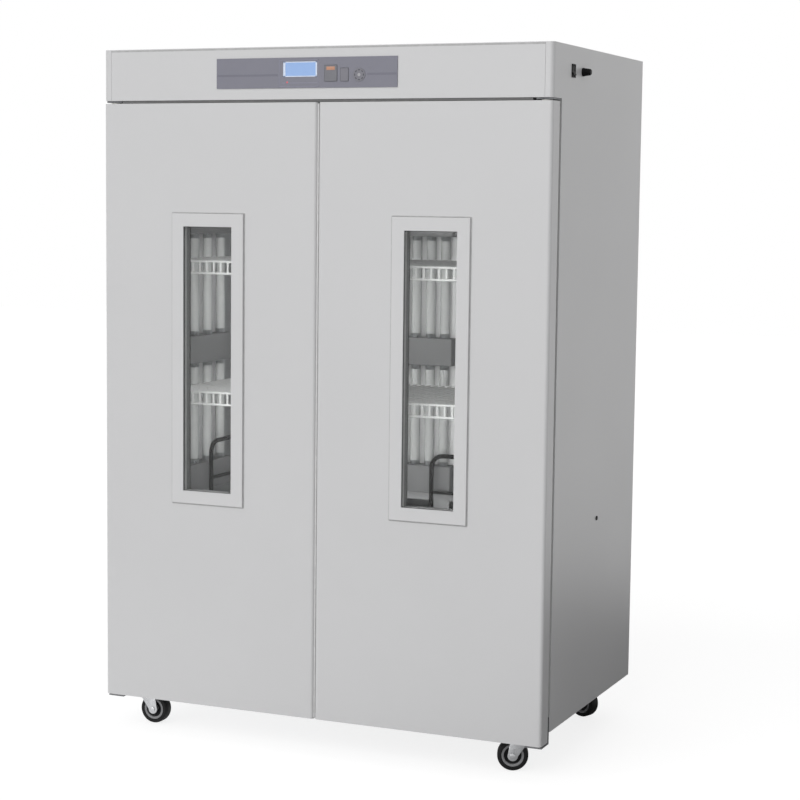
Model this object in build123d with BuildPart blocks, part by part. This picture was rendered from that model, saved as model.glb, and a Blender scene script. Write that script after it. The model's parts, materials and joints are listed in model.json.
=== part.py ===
"""Two-door plant growth chamber on castors: insulated cabinet, lit shelves, windowed doors.

Millimetres. The origin is on the floor under the middle of the cabinet, with +X to the right
as seen from the doors, +Y towards the back and +Z up.
"""

import os
from math import cos, radians, sin, sqrt

from build123d import *

os.makedirs("parts", exist_ok=True)

# Cabinet and doors
cabinet_width = 1180.0
cabinet_depth = 702.0
door_bottom = 84.0
door_height = 1500.0
door_thickness = 48.0
door_gap = 4.0
header_gap = 7.0
header_height = 125.0
gasket_gap = 14.0
sheet = 1.5
door_radius = 8.0
running_gap = 0.3

# Header
nose_return = 20.0
nose_radius = 10.0
nose_seam = 0.5

# Insulation, liner and front frame
wall_foam = 52.0
floor_foam = 45.0
ceiling_foam = 55.0
back_foam = 45.0
liner = 1.5
frame_depth = 10.0
post_width = 56.0
chamber_height = 1364.0
bay_depth = 323.0
step_height = 324.0

# Base and castors
underside = 106.0
rail_width = 60.0
rail_height = 21.0
rail_wall = 3.0
castor_inset_x = 76.0
castor_inset_y = 22.0
plate_gap = 14.0
crown = 4.0
race_radius = 19.0
race_height = 8.0
race_sides = 12
fork_end_sides = 8
plate_length = 64.0
plate_depth = 44.0
plate_thickness = 4.0
wheel_radius = 37.5
wheel_width = 30.0
tyre_depth = 11.0
axle_radius = 4.0
kingpin_radius = 6.0
pin_head = 2.0
pin_rim = 3.0
castor_trail = 22.0
fork_wall = 2.5
fork_side_gap = 1.5
fork_end = 10.0
axle_head = 2.5
hub_wall = 5.0
hub_dish = 8.0
hub_sides = 16
shaft_fit = 0.05

# Windows
window_rise = 871.0
window_width = 134.0
window_height = 657.0
bezel_border = 32.0
bezel_height = 5.0
pane = 4.0
pane_lap = 4.0
inner_pane_lap = 20.0
collar_lap = 14.0
spacer_depth = 26.0
seat_gap = 0.5
collar_wall = 2.0

# Door hinges, seal and grip
hinge_inset_x = 22.0
hinge_inset_y = 24.0
hinge_plate = 4.0
hinge_pin_radius = 6.0
hinge_pin_length = 22.0
hinge_plate_lap = 14.0
hinge_drop = 3.0
riser_lift = 12.0
riser_inset = 10.0
bush_radius = 10.0
bush_flange_radius = 13.0
gasket_width = 16.0
gasket_lap = 5.0
dyke_width = 25.0
dyke_depth = 22.0
dyke_gap = 4.0
grip_width = 110.0
grip_depth = 24.0
grip_height = 16.0
grip_inset = 18.0
grip_front = 12.0
liner_plate = 2.0

# Shelves
shelf_rises = (690.5, 1021.5)
shelf_setback = 28.0
shelf_duct_gap = 59.0
shelf_inner = 16.0
shelf_side_gap = 59.0
shelf_wire = 5.0
apron_height = 36.0
apron_pitch = 20.2
apron_bar = 5.0
deck_slots = 8
upright = 14.0
tab_thickness = 3.0
tab_length = 40.0

# Lamps and heaters
lamp_radius = 13.0
lamp_length = 268.0
lamp_rail_height = 73.0
lamp_rail_depth = 46.0
lamp_rise = 148.5
lamp_sets = 2
lamp_stand_off = 25.0
tray = 2.0
back_lamp_pitch = 41.0
back_lamps = 6
side_lamp_pitch = 72.0
side_lamps = 4
side_lamp_reach = 302.0
lamp_sides = 12
heater_radius = 6.0
heater_bend = 32.0
heater_span = 160.0
heater_bar_drop = 98.0
heater_sides = 8
back_heater_x = 165.0
back_heater_gap = 64.0
back_heater_height = 179.5
side_heater_inset = 57.0
side_heater_shift = 80.0
side_heater_height = 203.5

# Air duct and its fan
duct_depth = 54.0
duct_fan_drop = 104.5
duct_fan_radius = 78.0
duct_grille_radius = 86.0
duct_grille_pitch = 20.0
duct_grille_slot = 12.0
duct_inlets = 5
duct_fan_gap = 6.0
duct_motor_radius = 30.0
duct_motor_depth = 22.0
fan_shaft_radius = 4.0
fan_depth = 18.0
fan_blades = 5
fan_hub_sides = 15
blade = 2.0
blade_pitch = 28.0
evaporator_height = 250.0
evaporator_gap = 3.0
fin_margin = 15.0

# Machine bay
vent_height = 340.0
vent_rows = 14
vent_columns = 3
vent_slot_width = 250.0
vent_slot_height = 7.0
compressor_x = -270.0
compressor_inset = 151.0
compressor_foot = 8.0
compressor_radius = 84.0
compressor_height = 190.0
condenser_x = 220.0
condenser_width = 320.0
condenser_height = 280.0
condenser_depth = 50.0
condenser_fan_radius = 112.0
shroud_depth = 28.0
shroud_gap = 6.0
motor_bar = 8.0
motor_bar_height = 30.0
condenser_gap = 5.0
condenser_motor_radius = 34.0
condenser_motor_depth = 38.0
shaft_overlap = 2.0
fin_count = 20

# Control panel, keys and side fittings
panel_left = -272.0
panel_width = 478.0
panel_rise = 26.5
panel_height = 72.0
panel_plate = 2.0
panel_margin = 7.0
display_offset = 225.0
display_rise = 71.0
display_width = 90.0
display_height = 36.0
display_depth = 10.0
display_inset = 0.6
led_offset = 191.0
led_rise = 40.0
led_radius = 2.5
key_sizes = {"set_key": (306.0, 60.5, 34.0, 39.0), "mode_key": (341.7, 57.0, 22.0, 32.0)}
key_corner = 3.0
pad_offset = 380.0
pad_rise = 56.0
pad_radius = 15.5
key_rise = 1.0
key_travel = 0.4
key_flange = 2.0
board = 2.0
power_box_width = 380.0
power_box_depth = 260.0
power_box_height = 70.0
power_box_inset = 89.0
switch_inset = 140.0
switch_rise = 67.0
switch_height = 31.0
switch_width = 25.0
switch_rim = 2.0
switch_wall = 2.6
switch_depth = 22.0
rocker_tilt = 10.0
rocker_inset = 4.0
rocker_face = 5.5
fuse_inset = 210.0
fuse_rise = 68.0
fuse_radius = 10.0
fuse_waist = 7.0
fuse_reach = 21.0
fuse_flange = 3.0
fuse_depth = 24.0
fuse_neck = 8.0
fuse_stem = 18.0
fuse_flats = 10
port_inset = 391.0
port_rise = 70.5
port_radius = 5.5

# Places that follow from the sizes above
half_width = cabinet_width / 2
door_front = -cabinet_depth / 2
back_y = cabinet_depth / 2
door_back = door_front + door_thickness
face_y = door_back + gasket_gap
door_top = door_bottom + door_height
header_bottom = door_top + header_gap
header_top = header_bottom + header_height
cover_bottom = header_top - sheet
shell_x = half_width - sheet
base_top = underside + rail_height + rail_wall
frame_back = face_y + frame_depth
chamber_x = shell_x - wall_foam - liner
chamber_floor = base_top + floor_foam + liner
chamber_ceiling = chamber_floor + chamber_height
chamber_back = back_y - sheet - back_foam - liner
step_top = chamber_floor + step_height
step_front = chamber_back - bay_depth
foam_top = chamber_ceiling + liner + ceiling_foam
duct_front = chamber_back - duct_depth
castor_x = half_width - castor_inset_x
front_castor_y = face_y + castor_inset_y
back_castor_y = -front_castor_y
hinge_x = half_width - hinge_inset_x
hinge_y = door_front + hinge_inset_y
window_x = (half_width + door_gap / 2) / 2
window_z = door_bottom + window_rise
shelf_tops = [chamber_floor + rise for rise in shelf_rises]
shelf_front = frame_back + shelf_setback
shelf_back = duct_front - shelf_duct_gap
shelf_outer = chamber_x - shelf_side_gap
lamp_first_z = step_top + lamp_rise
lamp_pitch_z = lamp_length + lamp_rail_height
lamp_rails_z = [lamp_first_z - lamp_rail_height + n * lamp_pitch_z for n in range(lamp_sets + 1)]
tray_top = lamp_rails_z[-1] + lamp_rail_height
side_lamp_middle = chamber_back - side_lamp_reach
back_heater_y = duct_front - back_heater_gap
back_heater_top = step_top + back_heater_height
side_heater_y = side_lamp_middle + side_heater_shift
side_heater_top = step_top + side_heater_height
duct_fan_z = chamber_ceiling - duct_fan_drop
compressor_y = back_y - compressor_inset
panel_right = panel_left + panel_width
panel_bottom = header_bottom + panel_rise
panel_top = panel_bottom + panel_height
display_x = panel_left + display_offset
display_z = header_bottom + display_rise
led_x = panel_left + led_offset
led_z = header_bottom + led_rise
pad_x = panel_left + pad_offset
pad_z = header_bottom + pad_rise
keys = {
    name: (panel_left + offset, header_bottom + rise, width, height)
    for name, (offset, rise, width, height) in key_sizes.items()
}
switch_y = door_front + switch_inset
switch_z = header_bottom + switch_rise
fuse_y = door_front + fuse_inset
fuse_z = header_bottom + fuse_rise
port_y = door_front + port_inset
port_z = step_top + port_rise


def write(piece, name):
    """Labels a finished piece and writes its STEP file."""
    piece.part.label = name
    export_step(piece.part, f"parts/{name}.step")


def block(x, y, z, mode=Mode.ADD):
    """Adds or cuts a box between two X, two Y and two Z values."""
    with Locations(((x[0] + x[1]) / 2, (y[0] + y[1]) / 2, (z[0] + z[1]) / 2)):
        Box(abs(x[1] - x[0]), abs(y[1] - y[0]), abs(z[1] - z[0]), mode=mode)


def facing_front(y):
    """Returns the plane at y that faces the doors: its x is X, its y is Z, minus is back."""
    return Plane.XZ.offset(-y)


def facing_right(x):
    """Returns the plane at x that faces right: its x is Y and its y is Z."""
    return Plane.YZ.offset(x)


def stepped(grow):
    """Returns the chamber's stepped side outline as (Y, Z), grown outwards by grow."""
    front, back = frame_back, chamber_back + grow[2]
    floor, riser, step = chamber_floor - grow[0], step_front + grow[1], step_top - grow[1]
    ceiling = chamber_ceiling + grow[3]
    lower = [(front, floor), (riser, floor), (riser, step), (back, step)]
    return lower + [(back, ceiling), (front, ceiling)]


def mirrored(side, low, high):
    """Returns a span of X on the right, or its mirror image on the left."""
    return (side * low, side * high)


# Side panels: flat sheets whose upper front corner wraps round the header's end
for side, name in ((-1, "left_side_panel"), (1, "right_side_panel")):
    nose_in, nose_out = side * (half_width - nose_return), side * half_width
    skin_in = side * shell_x
    with BuildPart() as side_panel:
        block(mirrored(side, shell_x, half_width), (face_y, back_y), (underside, cover_bottom))
        with BuildSketch(Plane.XY.offset(header_bottom)) as nose:
            with BuildLine():
                Polyline(
                    (nose_in, door_front), (nose_out, door_front), (nose_out, face_y),
                    (skin_in, face_y), (skin_in, door_front + sheet), (nose_in, door_front + sheet),
                    close=True,
                )
            make_face()
            fillet(nose.vertices().sort_by_distance((nose_out, door_front))[0], nose_radius)
            inner_corner = nose.vertices().sort_by_distance((skin_in, door_front + sheet))[0]
            fillet(inner_corner, nose_radius - sheet)
        extrude(amount=cover_bottom - header_bottom)
        with BuildSketch(Plane.XY.offset(header_bottom)) as sole:
            with BuildLine():
                Polyline(
                    (nose_in, door_front), (nose_out, door_front),
                    (nose_out, face_y), (nose_in, face_y),
                    close=True,
                )
            make_face()
            fillet(sole.vertices().sort_by_distance((nose_out, door_front))[0], nose_radius)
        extrude(amount=sheet)
        if side > 0:
            rim = 2 * switch_rim - seat_gap
            with BuildSketch(facing_right(half_width)):
                with Locations((switch_y, switch_z)):
                    Rectangle(switch_width - rim, switch_height - rim)
                with Locations((fuse_y, fuse_z)):
                    Circle(fuse_waist + seat_gap / 2)
                with Locations((port_y, port_z)):
                    Circle(port_radius - sheet + seat_gap / 2)
            extrude(amount=-sheet, mode=Mode.SUBTRACT)
    write(side_panel, name)

# Top cover: a sheet with the same rounded front corners as the header
with BuildPart() as top_cover:
    with BuildSketch(Plane.XY.offset(cover_bottom)) as cover:
        Rectangle(cabinet_width, cabinet_depth)
        fillet(cover.vertices().group_by(Axis.Y)[0], nose_radius)
    extrude(amount=sheet)
write(top_cover, "top_cover")

# Header fascia: front sheet with its bottom return, cut out behind the control panel
fascia_x = half_width - nose_return - nose_seam
with BuildPart() as header_fascia:
    block((-fascia_x, fascia_x), (door_front, door_front + sheet), (header_bottom, cover_bottom))
    block((-fascia_x, fascia_x), (door_front, face_y), (header_bottom, header_bottom + sheet))
    block(
        (panel_left + panel_margin, panel_right - panel_margin),
        (door_front, door_front + sheet),
        (panel_bottom + panel_margin, panel_bottom + panel_height - panel_margin),
        mode=Mode.SUBTRACT,
    )
write(header_fascia, "header_fascia")

# Rear panel, with a louvred cover over the machine bay below it
vent_top = base_top + vent_height
with BuildPart() as rear_panel:
    block((-shell_x, shell_x), (back_y - sheet, back_y), (vent_top, cover_bottom))
write(rear_panel, "rear_panel")

with BuildPart() as rear_vent_cover:
    block((-shell_x, shell_x), (back_y - sheet, back_y), (base_top, vent_top))
    slot_pitch_x = 2 * shell_x / vent_columns
    slot_pitch_z = vent_height / (vent_rows + 2)
    with BuildSketch(facing_front(back_y)):
        with Locations((0, (base_top + vent_top) / 2)):
            with GridLocations(slot_pitch_x, slot_pitch_z, vent_columns, vent_rows):
                Rectangle(vent_slot_width, vent_slot_height)
    extrude(amount=sheet, mode=Mode.SUBTRACT)
write(rear_vent_cover, "rear_vent_cover")

# Base frame: floor plate on two box rails that carry the castors, with front and back lips
with BuildPart() as base_frame:
    block((-shell_x, shell_x), (face_y, back_y - sheet), (base_top - rail_wall, base_top))
    for side in (-1, 1):
        rail = (side * castor_x - rail_width / 2, side * castor_x + rail_width / 2)
        block(rail, (face_y, back_y - sheet), (underside, base_top))
        block(
            (rail[0] + rail_wall, rail[1] - rail_wall),
            (face_y + rail_wall, back_y - sheet - rail_wall),
            (underside + rail_wall, base_top - rail_wall),
            mode=Mode.SUBTRACT,
        )
    block((-shell_x, shell_x), (face_y, face_y + rail_wall), (underside, base_top))
    block((-shell_x, shell_x), (back_y - sheet - rail_wall, back_y - sheet), (underside, base_top))
write(base_frame, "base_frame")

# Foam insulation: one cast block with the chamber's cavity and the notch of the machine bay
foam_outer = stepped((floor_foam + liner, back_foam + liner, back_foam + liner, ceiling_foam + liner))
foam_inner = stepped((liner, liner, liner, liner))
with BuildPart() as foam_insulation:
    with BuildSketch(facing_right(-shell_x)):
        with BuildLine():
            Polyline(*foam_outer, close=True)
        make_face()
    extrude(amount=2 * shell_x)
    with BuildSketch(facing_right(-chamber_x - liner)):
        with BuildLine():
            Polyline(*foam_inner, close=True)
        make_face()
    extrude(amount=2 * (chamber_x + liner), mode=Mode.SUBTRACT)
    with BuildSketch(facing_right(shell_x)):
        with Locations((port_y, port_z)):
            Circle(port_radius - sheet + seat_gap / 2)
    extrude(amount=-wall_foam / 2, mode=Mode.SUBTRACT)
write(foam_insulation, "foam_insulation")

# Stainless liner: stepped box, open to the doors
with BuildPart() as inner_liner:
    with BuildSketch(facing_right(-chamber_x - liner)):
        with BuildLine():
            Polyline(*foam_inner, close=True)
        make_face()
    extrude(amount=2 * (chamber_x + liner))
    with BuildSketch(facing_right(-chamber_x)):
        with BuildLine():
            Polyline(*stepped((0, 0, 0, 0)), close=True)
        make_face()
    extrude(amount=2 * chamber_x, mode=Mode.SUBTRACT)
write(inner_liner, "inner_liner")

# Front frame: the face that both gaskets close on, with the middle post
opening_x = (chamber_x + post_width / 2) / 2
with BuildPart() as front_frame:
    with BuildSketch(facing_front(face_y)):
        with Locations((0, (base_top + foam_top) / 2)):
            Rectangle(2 * shell_x, foam_top - base_top)
        with Locations(*[(side * opening_x, (chamber_floor + chamber_ceiling) / 2) for side in (-1, 1)]):
            Rectangle(chamber_x - post_width / 2, chamber_height, mode=Mode.SUBTRACT)
    extrude(amount=-frame_depth)
write(front_frame, "front_frame")

# Uprights with tabs under the shelves: two front corners, the middle post and four on the duct
tab_levels = [top - shelf_wire - tab_thickness for top in shelf_tops]
side_upright_x = chamber_x - upright
back_uprights_x = (back_lamp_pitch * back_lamps / 2 + 2 * upright, shelf_outer - upright)
with BuildPart() as shelf_uprights:
    front_post = (frame_back, frame_back + upright)
    front_arm = (frame_back, shelf_front + tab_length)
    for side in (-1, 1):
        block(mirrored(side, side_upright_x, chamber_x), front_post, (chamber_floor, chamber_ceiling))
        for x in back_uprights_x:
            back_post = mirrored(side, x - upright / 2, x + upright / 2)
            block(back_post, (duct_front - upright, duct_front), (step_top, chamber_ceiling))
    block((-upright / 2, upright / 2), front_post, (chamber_floor, chamber_ceiling))
    for level in tab_levels:
        tab = (level, level + tab_thickness)
        for side in (-1, 1):
            block(mirrored(side, shelf_outer - tab_length, chamber_x), front_post, tab)
            block(mirrored(side, shelf_outer - tab_length, shelf_outer), front_arm, tab)
            block(mirrored(side, 0, shelf_inner + tab_length), front_post, tab)
            block(mirrored(side, shelf_inner + apron_bar, shelf_inner + tab_length), front_arm, tab)
            for x in back_uprights_x:
                back_post = mirrored(side, x - upright / 2, x + upright / 2)
                block(back_post, (shelf_back - tab_length, duct_front), tab)
        apron_place = (shelf_front - 1, shelf_front + apron_bar)
        block((-shelf_outer, shelf_outer), apron_place, tab, mode=Mode.SUBTRACT)
write(shelf_uprights, "shelf_uprights")

# Shelves: a left and a right wire shelf at each level, with a barred apron turned down in front
shelf_width = shelf_outer - shelf_inner
shelf_middle = (shelf_outer + shelf_inner) / 2
apron_bars = round(shelf_width / apron_pitch)
apron_step = (shelf_width - apron_bar) / apron_bars
slot_step = (shelf_width - apron_bar) / deck_slots
slot_depth = shelf_back - shelf_front - 3 * shelf_wire
for top, name in zip(shelf_tops, ("lower_shelves", "upper_shelves")):
    with BuildPart() as shelves:
        for side in (-1, 1):
            span = mirrored(side, shelf_inner, shelf_outer)
            block(span, (shelf_front, shelf_back), (top - shelf_wire, top))
            block(span, (shelf_front, shelf_front + shelf_wire), (top - apron_height, top))
        with BuildSketch(facing_front(shelf_front)):
            with Locations(*[(side * shelf_middle, top - apron_height / 2) for side in (-1, 1)]):
                with GridLocations(apron_step, 1, apron_bars, 1):
                    Rectangle(apron_step - apron_bar, apron_height - 2 * shelf_wire)
        extrude(amount=-shelf_wire, mode=Mode.SUBTRACT)
        with BuildSketch(Plane.XY.offset(top)):
            with Locations(*[(side * shelf_middle, (shelf_front + shelf_back) / 2) for side in (-1, 1)]):
                with GridLocations(slot_step, 1, deck_slots, 1):
                    Rectangle(slot_step - apron_bar, slot_depth)
        extrude(amount=-shelf_wire, mode=Mode.SUBTRACT)
    write(shelves, name)

# Rear duct: baffle in front of the chamber's back wall, slotted at the fan and along the bottom
with BuildPart() as rear_duct:
    block((-chamber_x, chamber_x), (duct_front, duct_front + sheet), (step_top, chamber_ceiling))
    grille_rows = int(duct_grille_radius // duct_grille_pitch)
    with BuildSketch(facing_front(duct_front)):
        for row in range(-grille_rows, grille_rows + 1):
            rise = row * duct_grille_pitch
            with Locations((0, duct_fan_z + rise)):
                Rectangle(2 * sqrt(duct_grille_radius**2 - rise**2), duct_grille_slot)
        with Locations((0, (step_top + lamp_rails_z[0]) / 2)):
            with GridLocations(chamber_x / 3, 1, duct_inlets, 1):
                Rectangle(chamber_x / 4, 2 * duct_grille_slot)
    extrude(amount=-sheet, mode=Mode.SUBTRACT)
write(rear_duct, "rear_duct")

# Evaporator: finned block in the duct
duct_gap = chamber_back - duct_front - sheet
evaporator_z = (lamp_rails_z[0] + tray_top) / 2
with BuildPart() as evaporator:
    block(
        (-chamber_x * 0.75, chamber_x * 0.75),
        (duct_front + sheet + evaporator_gap, chamber_back),
        (evaporator_z - evaporator_height / 2, evaporator_z + evaporator_height / 2),
    )
    with BuildSketch(facing_front(duct_front + sheet)):
        with Locations((0, evaporator_z)):
            with GridLocations(chamber_x * 1.4 / fin_count, 1, fin_count, 1):
                Rectangle(chamber_x * 0.7 / fin_count, evaporator_height - 2 * fin_margin)
    extrude(amount=-duct_gap * 0.6, mode=Mode.SUBTRACT)
write(evaporator, "evaporator")

# Lamp trays: a reflector sheet on the duct and on each side wall, with socket rails across it
back_tray_x = back_lamp_pitch * back_lamps / 2 + lamp_radius / 2
side_tray_y = side_lamp_pitch * side_lamps / 2
with BuildPart() as lamp_trays:
    block((-back_tray_x, back_tray_x), (duct_front - tray, duct_front), (lamp_rails_z[0], tray_top))
    for z in lamp_rails_z:
        rail_y = (duct_front - lamp_rail_depth, duct_front)
        block((-back_tray_x, back_tray_x), rail_y, (z, z + lamp_rail_height))
    for side in (-1, 1):
        reach_y = (side_lamp_middle - side_tray_y, side_lamp_middle + side_tray_y)
        block(mirrored(side, chamber_x - tray, chamber_x), reach_y, (lamp_rails_z[0], tray_top))
        for z in lamp_rails_z:
            rail_x = mirrored(side, chamber_x - lamp_rail_depth, chamber_x)
            block(rail_x, reach_y, (z, z + lamp_rail_height))
write(lamp_trays, "lamp_trays")

# Lamp tubes: upright between the rails
with BuildPart() as lamp_tubes:
    for n in range(lamp_sets):
        with BuildSketch(Plane.XY.offset(lamp_first_z + n * lamp_pitch_z)):
            with Locations((0, duct_front - lamp_stand_off)):
                with GridLocations(back_lamp_pitch, 1, back_lamps, 1):
                    RegularPolygon(lamp_radius, lamp_sides)
            for side in (-1, 1):
                with Locations((side * (chamber_x - lamp_stand_off), side_lamp_middle)):
                    with GridLocations(1, side_lamp_pitch, 1, side_lamps):
                        RegularPolygon(lamp_radius, lamp_sides)
        extrude(amount=lamp_length)
write(lamp_tubes, "lamp_tubes")

# Heater loops: bent tubes that stand on the step, each with a cross bar
side_heater_x = chamber_x - side_heater_inset
loops = [
    ((side * back_heater_x, back_heater_y, 0), (1, 0, 0), (0, -1, 0), back_heater_top) for side in (-1, 1)
] + [
    ((side * side_heater_x, side_heater_y, 0), (0, 1, 0), (1, 0, 0), side_heater_top) for side in (-1, 1)
]
with BuildPart() as heater_loops:
    for foot_middle, along, facing, top in loops:
        leg = heater_span / 2
        with BuildLine(Plane(origin=foot_middle, x_dir=along, z_dir=facing)) as route:
            corners = ((-leg, step_top), (-leg, top), (leg, top), (leg, step_top))
            FilletPolyline(*corners, radius=heater_bend)
        with BuildSketch(Plane(route.line @ 0, z_dir=(0, 0, 1))):
            RegularPolygon(heater_radius, heater_sides)
        sweep(path=route.line)
        bar = Vector(foot_middle) + Vector(0, 0, top - heater_bar_drop)
        with Locations(Plane(origin=bar, x_dir=along, z_dir=(0, 0, 1))):
            Box(heater_span, heater_radius, 1.4 * heater_radius)
write(heater_loops, "heater_loops")

# Compressor: a domed can on its foot plate
can_bottom = base_top + compressor_foot
can_top = base_top + compressor_height
dome = compressor_radius * 0.6
with BuildPart() as compressor:
    with BuildSketch(facing_front(compressor_y)):
        with BuildLine():
            Polyline(
                (compressor_x, can_bottom), (compressor_x + compressor_radius, can_bottom),
                (compressor_x + compressor_radius, can_top - dome),
                (compressor_x + compressor_radius * 0.6, can_top), (compressor_x, can_top),
                close=True,
            )
        make_face()
    revolve(axis=Axis((compressor_x, compressor_y, 0), (0, 0, 1)))
    block(
        (compressor_x - compressor_radius, compressor_x + compressor_radius),
        (compressor_y - compressor_radius, compressor_y + compressor_radius),
        (base_top, can_bottom),
    )
write(compressor, "compressor")

# Condenser: finned block behind the louvred cover, with the fan's shroud and motor bar before it
condenser_back = back_y - sheet - condenser_gap
condenser_span = (condenser_x - condenser_width / 2, condenser_x + condenser_width / 2)
condenser_z = base_top + condenser_height / 2
with BuildPart() as condenser:
    condenser_front = condenser_back - condenser_depth
    block(condenser_span, (condenser_front, condenser_back), (base_top, base_top + condenser_height))
    with BuildSketch(facing_front(condenser_back)):
        with Locations((condenser_x, condenser_z)):
            with GridLocations(condenser_width * 0.94 / fin_count, 1, fin_count, 1):
                Rectangle(condenser_width * 0.5 / fin_count, condenser_height - 2 * fin_margin)
    extrude(amount=condenser_depth * 0.8, mode=Mode.SUBTRACT)
write(condenser, "condenser")

shroud_front = condenser_front - shroud_depth
bar_front = shroud_front - motor_bar
with BuildPart() as condenser_shroud:
    block(condenser_span, (shroud_front, condenser_front), (base_top, base_top + condenser_height))
    with BuildSketch(facing_front(shroud_front)):
        with Locations((condenser_x, condenser_z)):
            Circle(condenser_fan_radius + shroud_gap)
    extrude(amount=-shroud_depth, mode=Mode.SUBTRACT)
    bar_z = (condenser_z - motor_bar_height / 2, condenser_z + motor_bar_height / 2)
    block(condenser_span, (bar_front, shroud_front), bar_z)
    with BuildSketch(facing_front(shroud_front)):
        with Locations((condenser_x, condenser_z)):
            Circle(fan_shaft_radius + 1)
    extrude(amount=motor_bar, mode=Mode.SUBTRACT)
write(condenser_shroud, "condenser_shroud")

# Fan motors: one on the chamber's back wall in the duct, one on the condenser's bar
duct_fan_front = duct_front + sheet + duct_fan_gap
condenser_fan_front = shroud_front + condenser_gap
with BuildPart() as fan_motors:
    with BuildSketch(facing_front(chamber_back)):
        with Locations((0, duct_fan_z)):
            Circle(duct_motor_radius)
    extrude(amount=duct_motor_depth)
    with BuildSketch(facing_front(chamber_back)):
        with Locations((0, duct_fan_z)):
            Circle(fan_shaft_radius)
    extrude(amount=chamber_back - duct_fan_front - shaft_overlap)
    with BuildSketch(facing_front(bar_front)):
        with Locations((condenser_x, condenser_z)):
            Circle(condenser_motor_radius)
    extrude(amount=condenser_motor_depth)
    shaft_end = condenser_fan_front + fan_depth - shaft_overlap
    with BuildSketch(facing_front(shaft_end)):
        with Locations((condenser_x, condenser_z)):
            Circle(fan_shaft_radius)
    extrude(amount=shaft_end - bar_front)
write(fan_motors, "fan_motors")

# Fans: a bored hub with twisted blades
fans = {
    "circulation_fan": (0, duct_fan_z, duct_fan_front, duct_fan_radius),
    "condenser_fan": (condenser_x, condenser_z, condenser_fan_front, condenser_fan_radius),
}
for name, (fan_x, fan_z, fan_front, fan_radius) in fans.items():
    hub_radius = fan_radius * 0.26
    chord = fan_radius * 0.5
    with BuildPart() as fan:
        with BuildSketch(facing_front(fan_front)):
            with Locations((fan_x, fan_z)):
                RegularPolygon(hub_radius, fan_hub_sides)
        extrude(amount=-fan_depth)
        for n in range(fan_blades):
            turn = radians(360 / fan_blades * n)
            outward = Vector(cos(turn), 0, sin(turn))
            across = Vector(-sin(turn), 0, cos(turn))
            pitch = radians(blade_pitch)
            lean = across * cos(pitch) + Vector(0, sin(pitch), 0)
            for reach, width in ((hub_radius * 0.8, chord * 0.5), (fan_radius, chord)):
                place = Vector(fan_x, fan_front + fan_depth / 2, fan_z) + outward * reach
                with BuildSketch(Plane(origin=place, x_dir=lean, z_dir=outward)):
                    Rectangle(width, blade)
            loft(ruled=True)
        with BuildSketch(facing_front(fan_front + fan_depth)):
            with Locations((fan_x, fan_z)):
                Circle(fan_shaft_radius + shaft_fit)
        extrude(amount=fan_depth, mode=Mode.SUBTRACT)
    write(fan, name)

# Control panel: a plate on the fascia with a window and holes for its keys
panel_front = door_front - panel_plate
with BuildPart() as control_panel:
    block((panel_left, panel_right), (panel_front, door_front), (panel_bottom, panel_top))
    with BuildSketch(facing_front(panel_front)):
        with Locations((display_x, display_z)):
            Rectangle(display_width, display_height)
        with Locations((led_x, led_z)):
            Circle(led_radius)
        for key_x, key_z, key_width, key_height in keys.values():
            with Locations((key_x, key_z)):
                gap = 2 * running_gap
                RectangleRounded(key_width + gap, key_height + gap, key_corner)
        with Locations((pad_x, pad_z)):
            Circle(pad_radius + running_gap)
    extrude(amount=-panel_plate, mode=Mode.SUBTRACT)
write(control_panel, "control_panel")

# Display and the status light beside it
board_front = door_front + display_depth
with BuildPart() as display:
    block(
        (display_x - display_width / 2, display_x + display_width / 2),
        (panel_front + display_inset, board_front),
        (display_z - display_height / 2, display_z + display_height / 2),
    )
    with BuildSketch(facing_front(board_front)):
        with Locations((led_x, led_z)):
            Circle(led_radius)
    extrude(amount=board_front - panel_front)
write(display, "display")

# Keys: each runs through the panel, with a flange behind it, and stops on the board
key_front = panel_front - key_rise
key_back = board_front - key_travel - shaft_fit
flange_front = door_front + running_gap
for name, (key_x, key_z, key_width, key_height) in keys.items():
    with BuildPart() as key:
        with BuildSketch(facing_front(key_front)):
            with Locations((key_x, key_z)):
                RectangleRounded(key_width, key_height, key_corner)
        extrude(amount=key_front - flange_front)
        with BuildSketch(facing_front(flange_front)):
            with Locations((key_x, key_z)):
                Rectangle(key_width + 2 * key_flange, key_height + 2 * key_flange)
        extrude(amount=flange_front - key_back)
    write(key, name)
with BuildPart() as direction_pad:
    with BuildSketch(facing_front(key_front)):
        with Locations((pad_x, pad_z)):
            Circle(pad_radius)
    extrude(amount=key_front - flange_front)
    with BuildSketch(facing_front(flange_front)):
        with Locations((pad_x, pad_z)):
            Circle(pad_radius + key_flange)
    extrude(amount=flange_front - key_back)
write(direction_pad, "direction_pad")

# Control electronics: the key board standing in the header and the power box on the foam
with BuildPart() as control_box:
    block(
        (panel_left, panel_right),
        (board_front, board_front + board),
        (header_bottom + sheet, panel_top),
    )
    power_box_x = (panel_left + panel_right) / 2
    block(
        (power_box_x - power_box_width / 2, power_box_x + power_box_width / 2),
        (face_y + power_box_inset, face_y + power_box_inset + power_box_depth),
        (foam_top, foam_top + power_box_height),
    )
write(control_box, "control_box")

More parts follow.
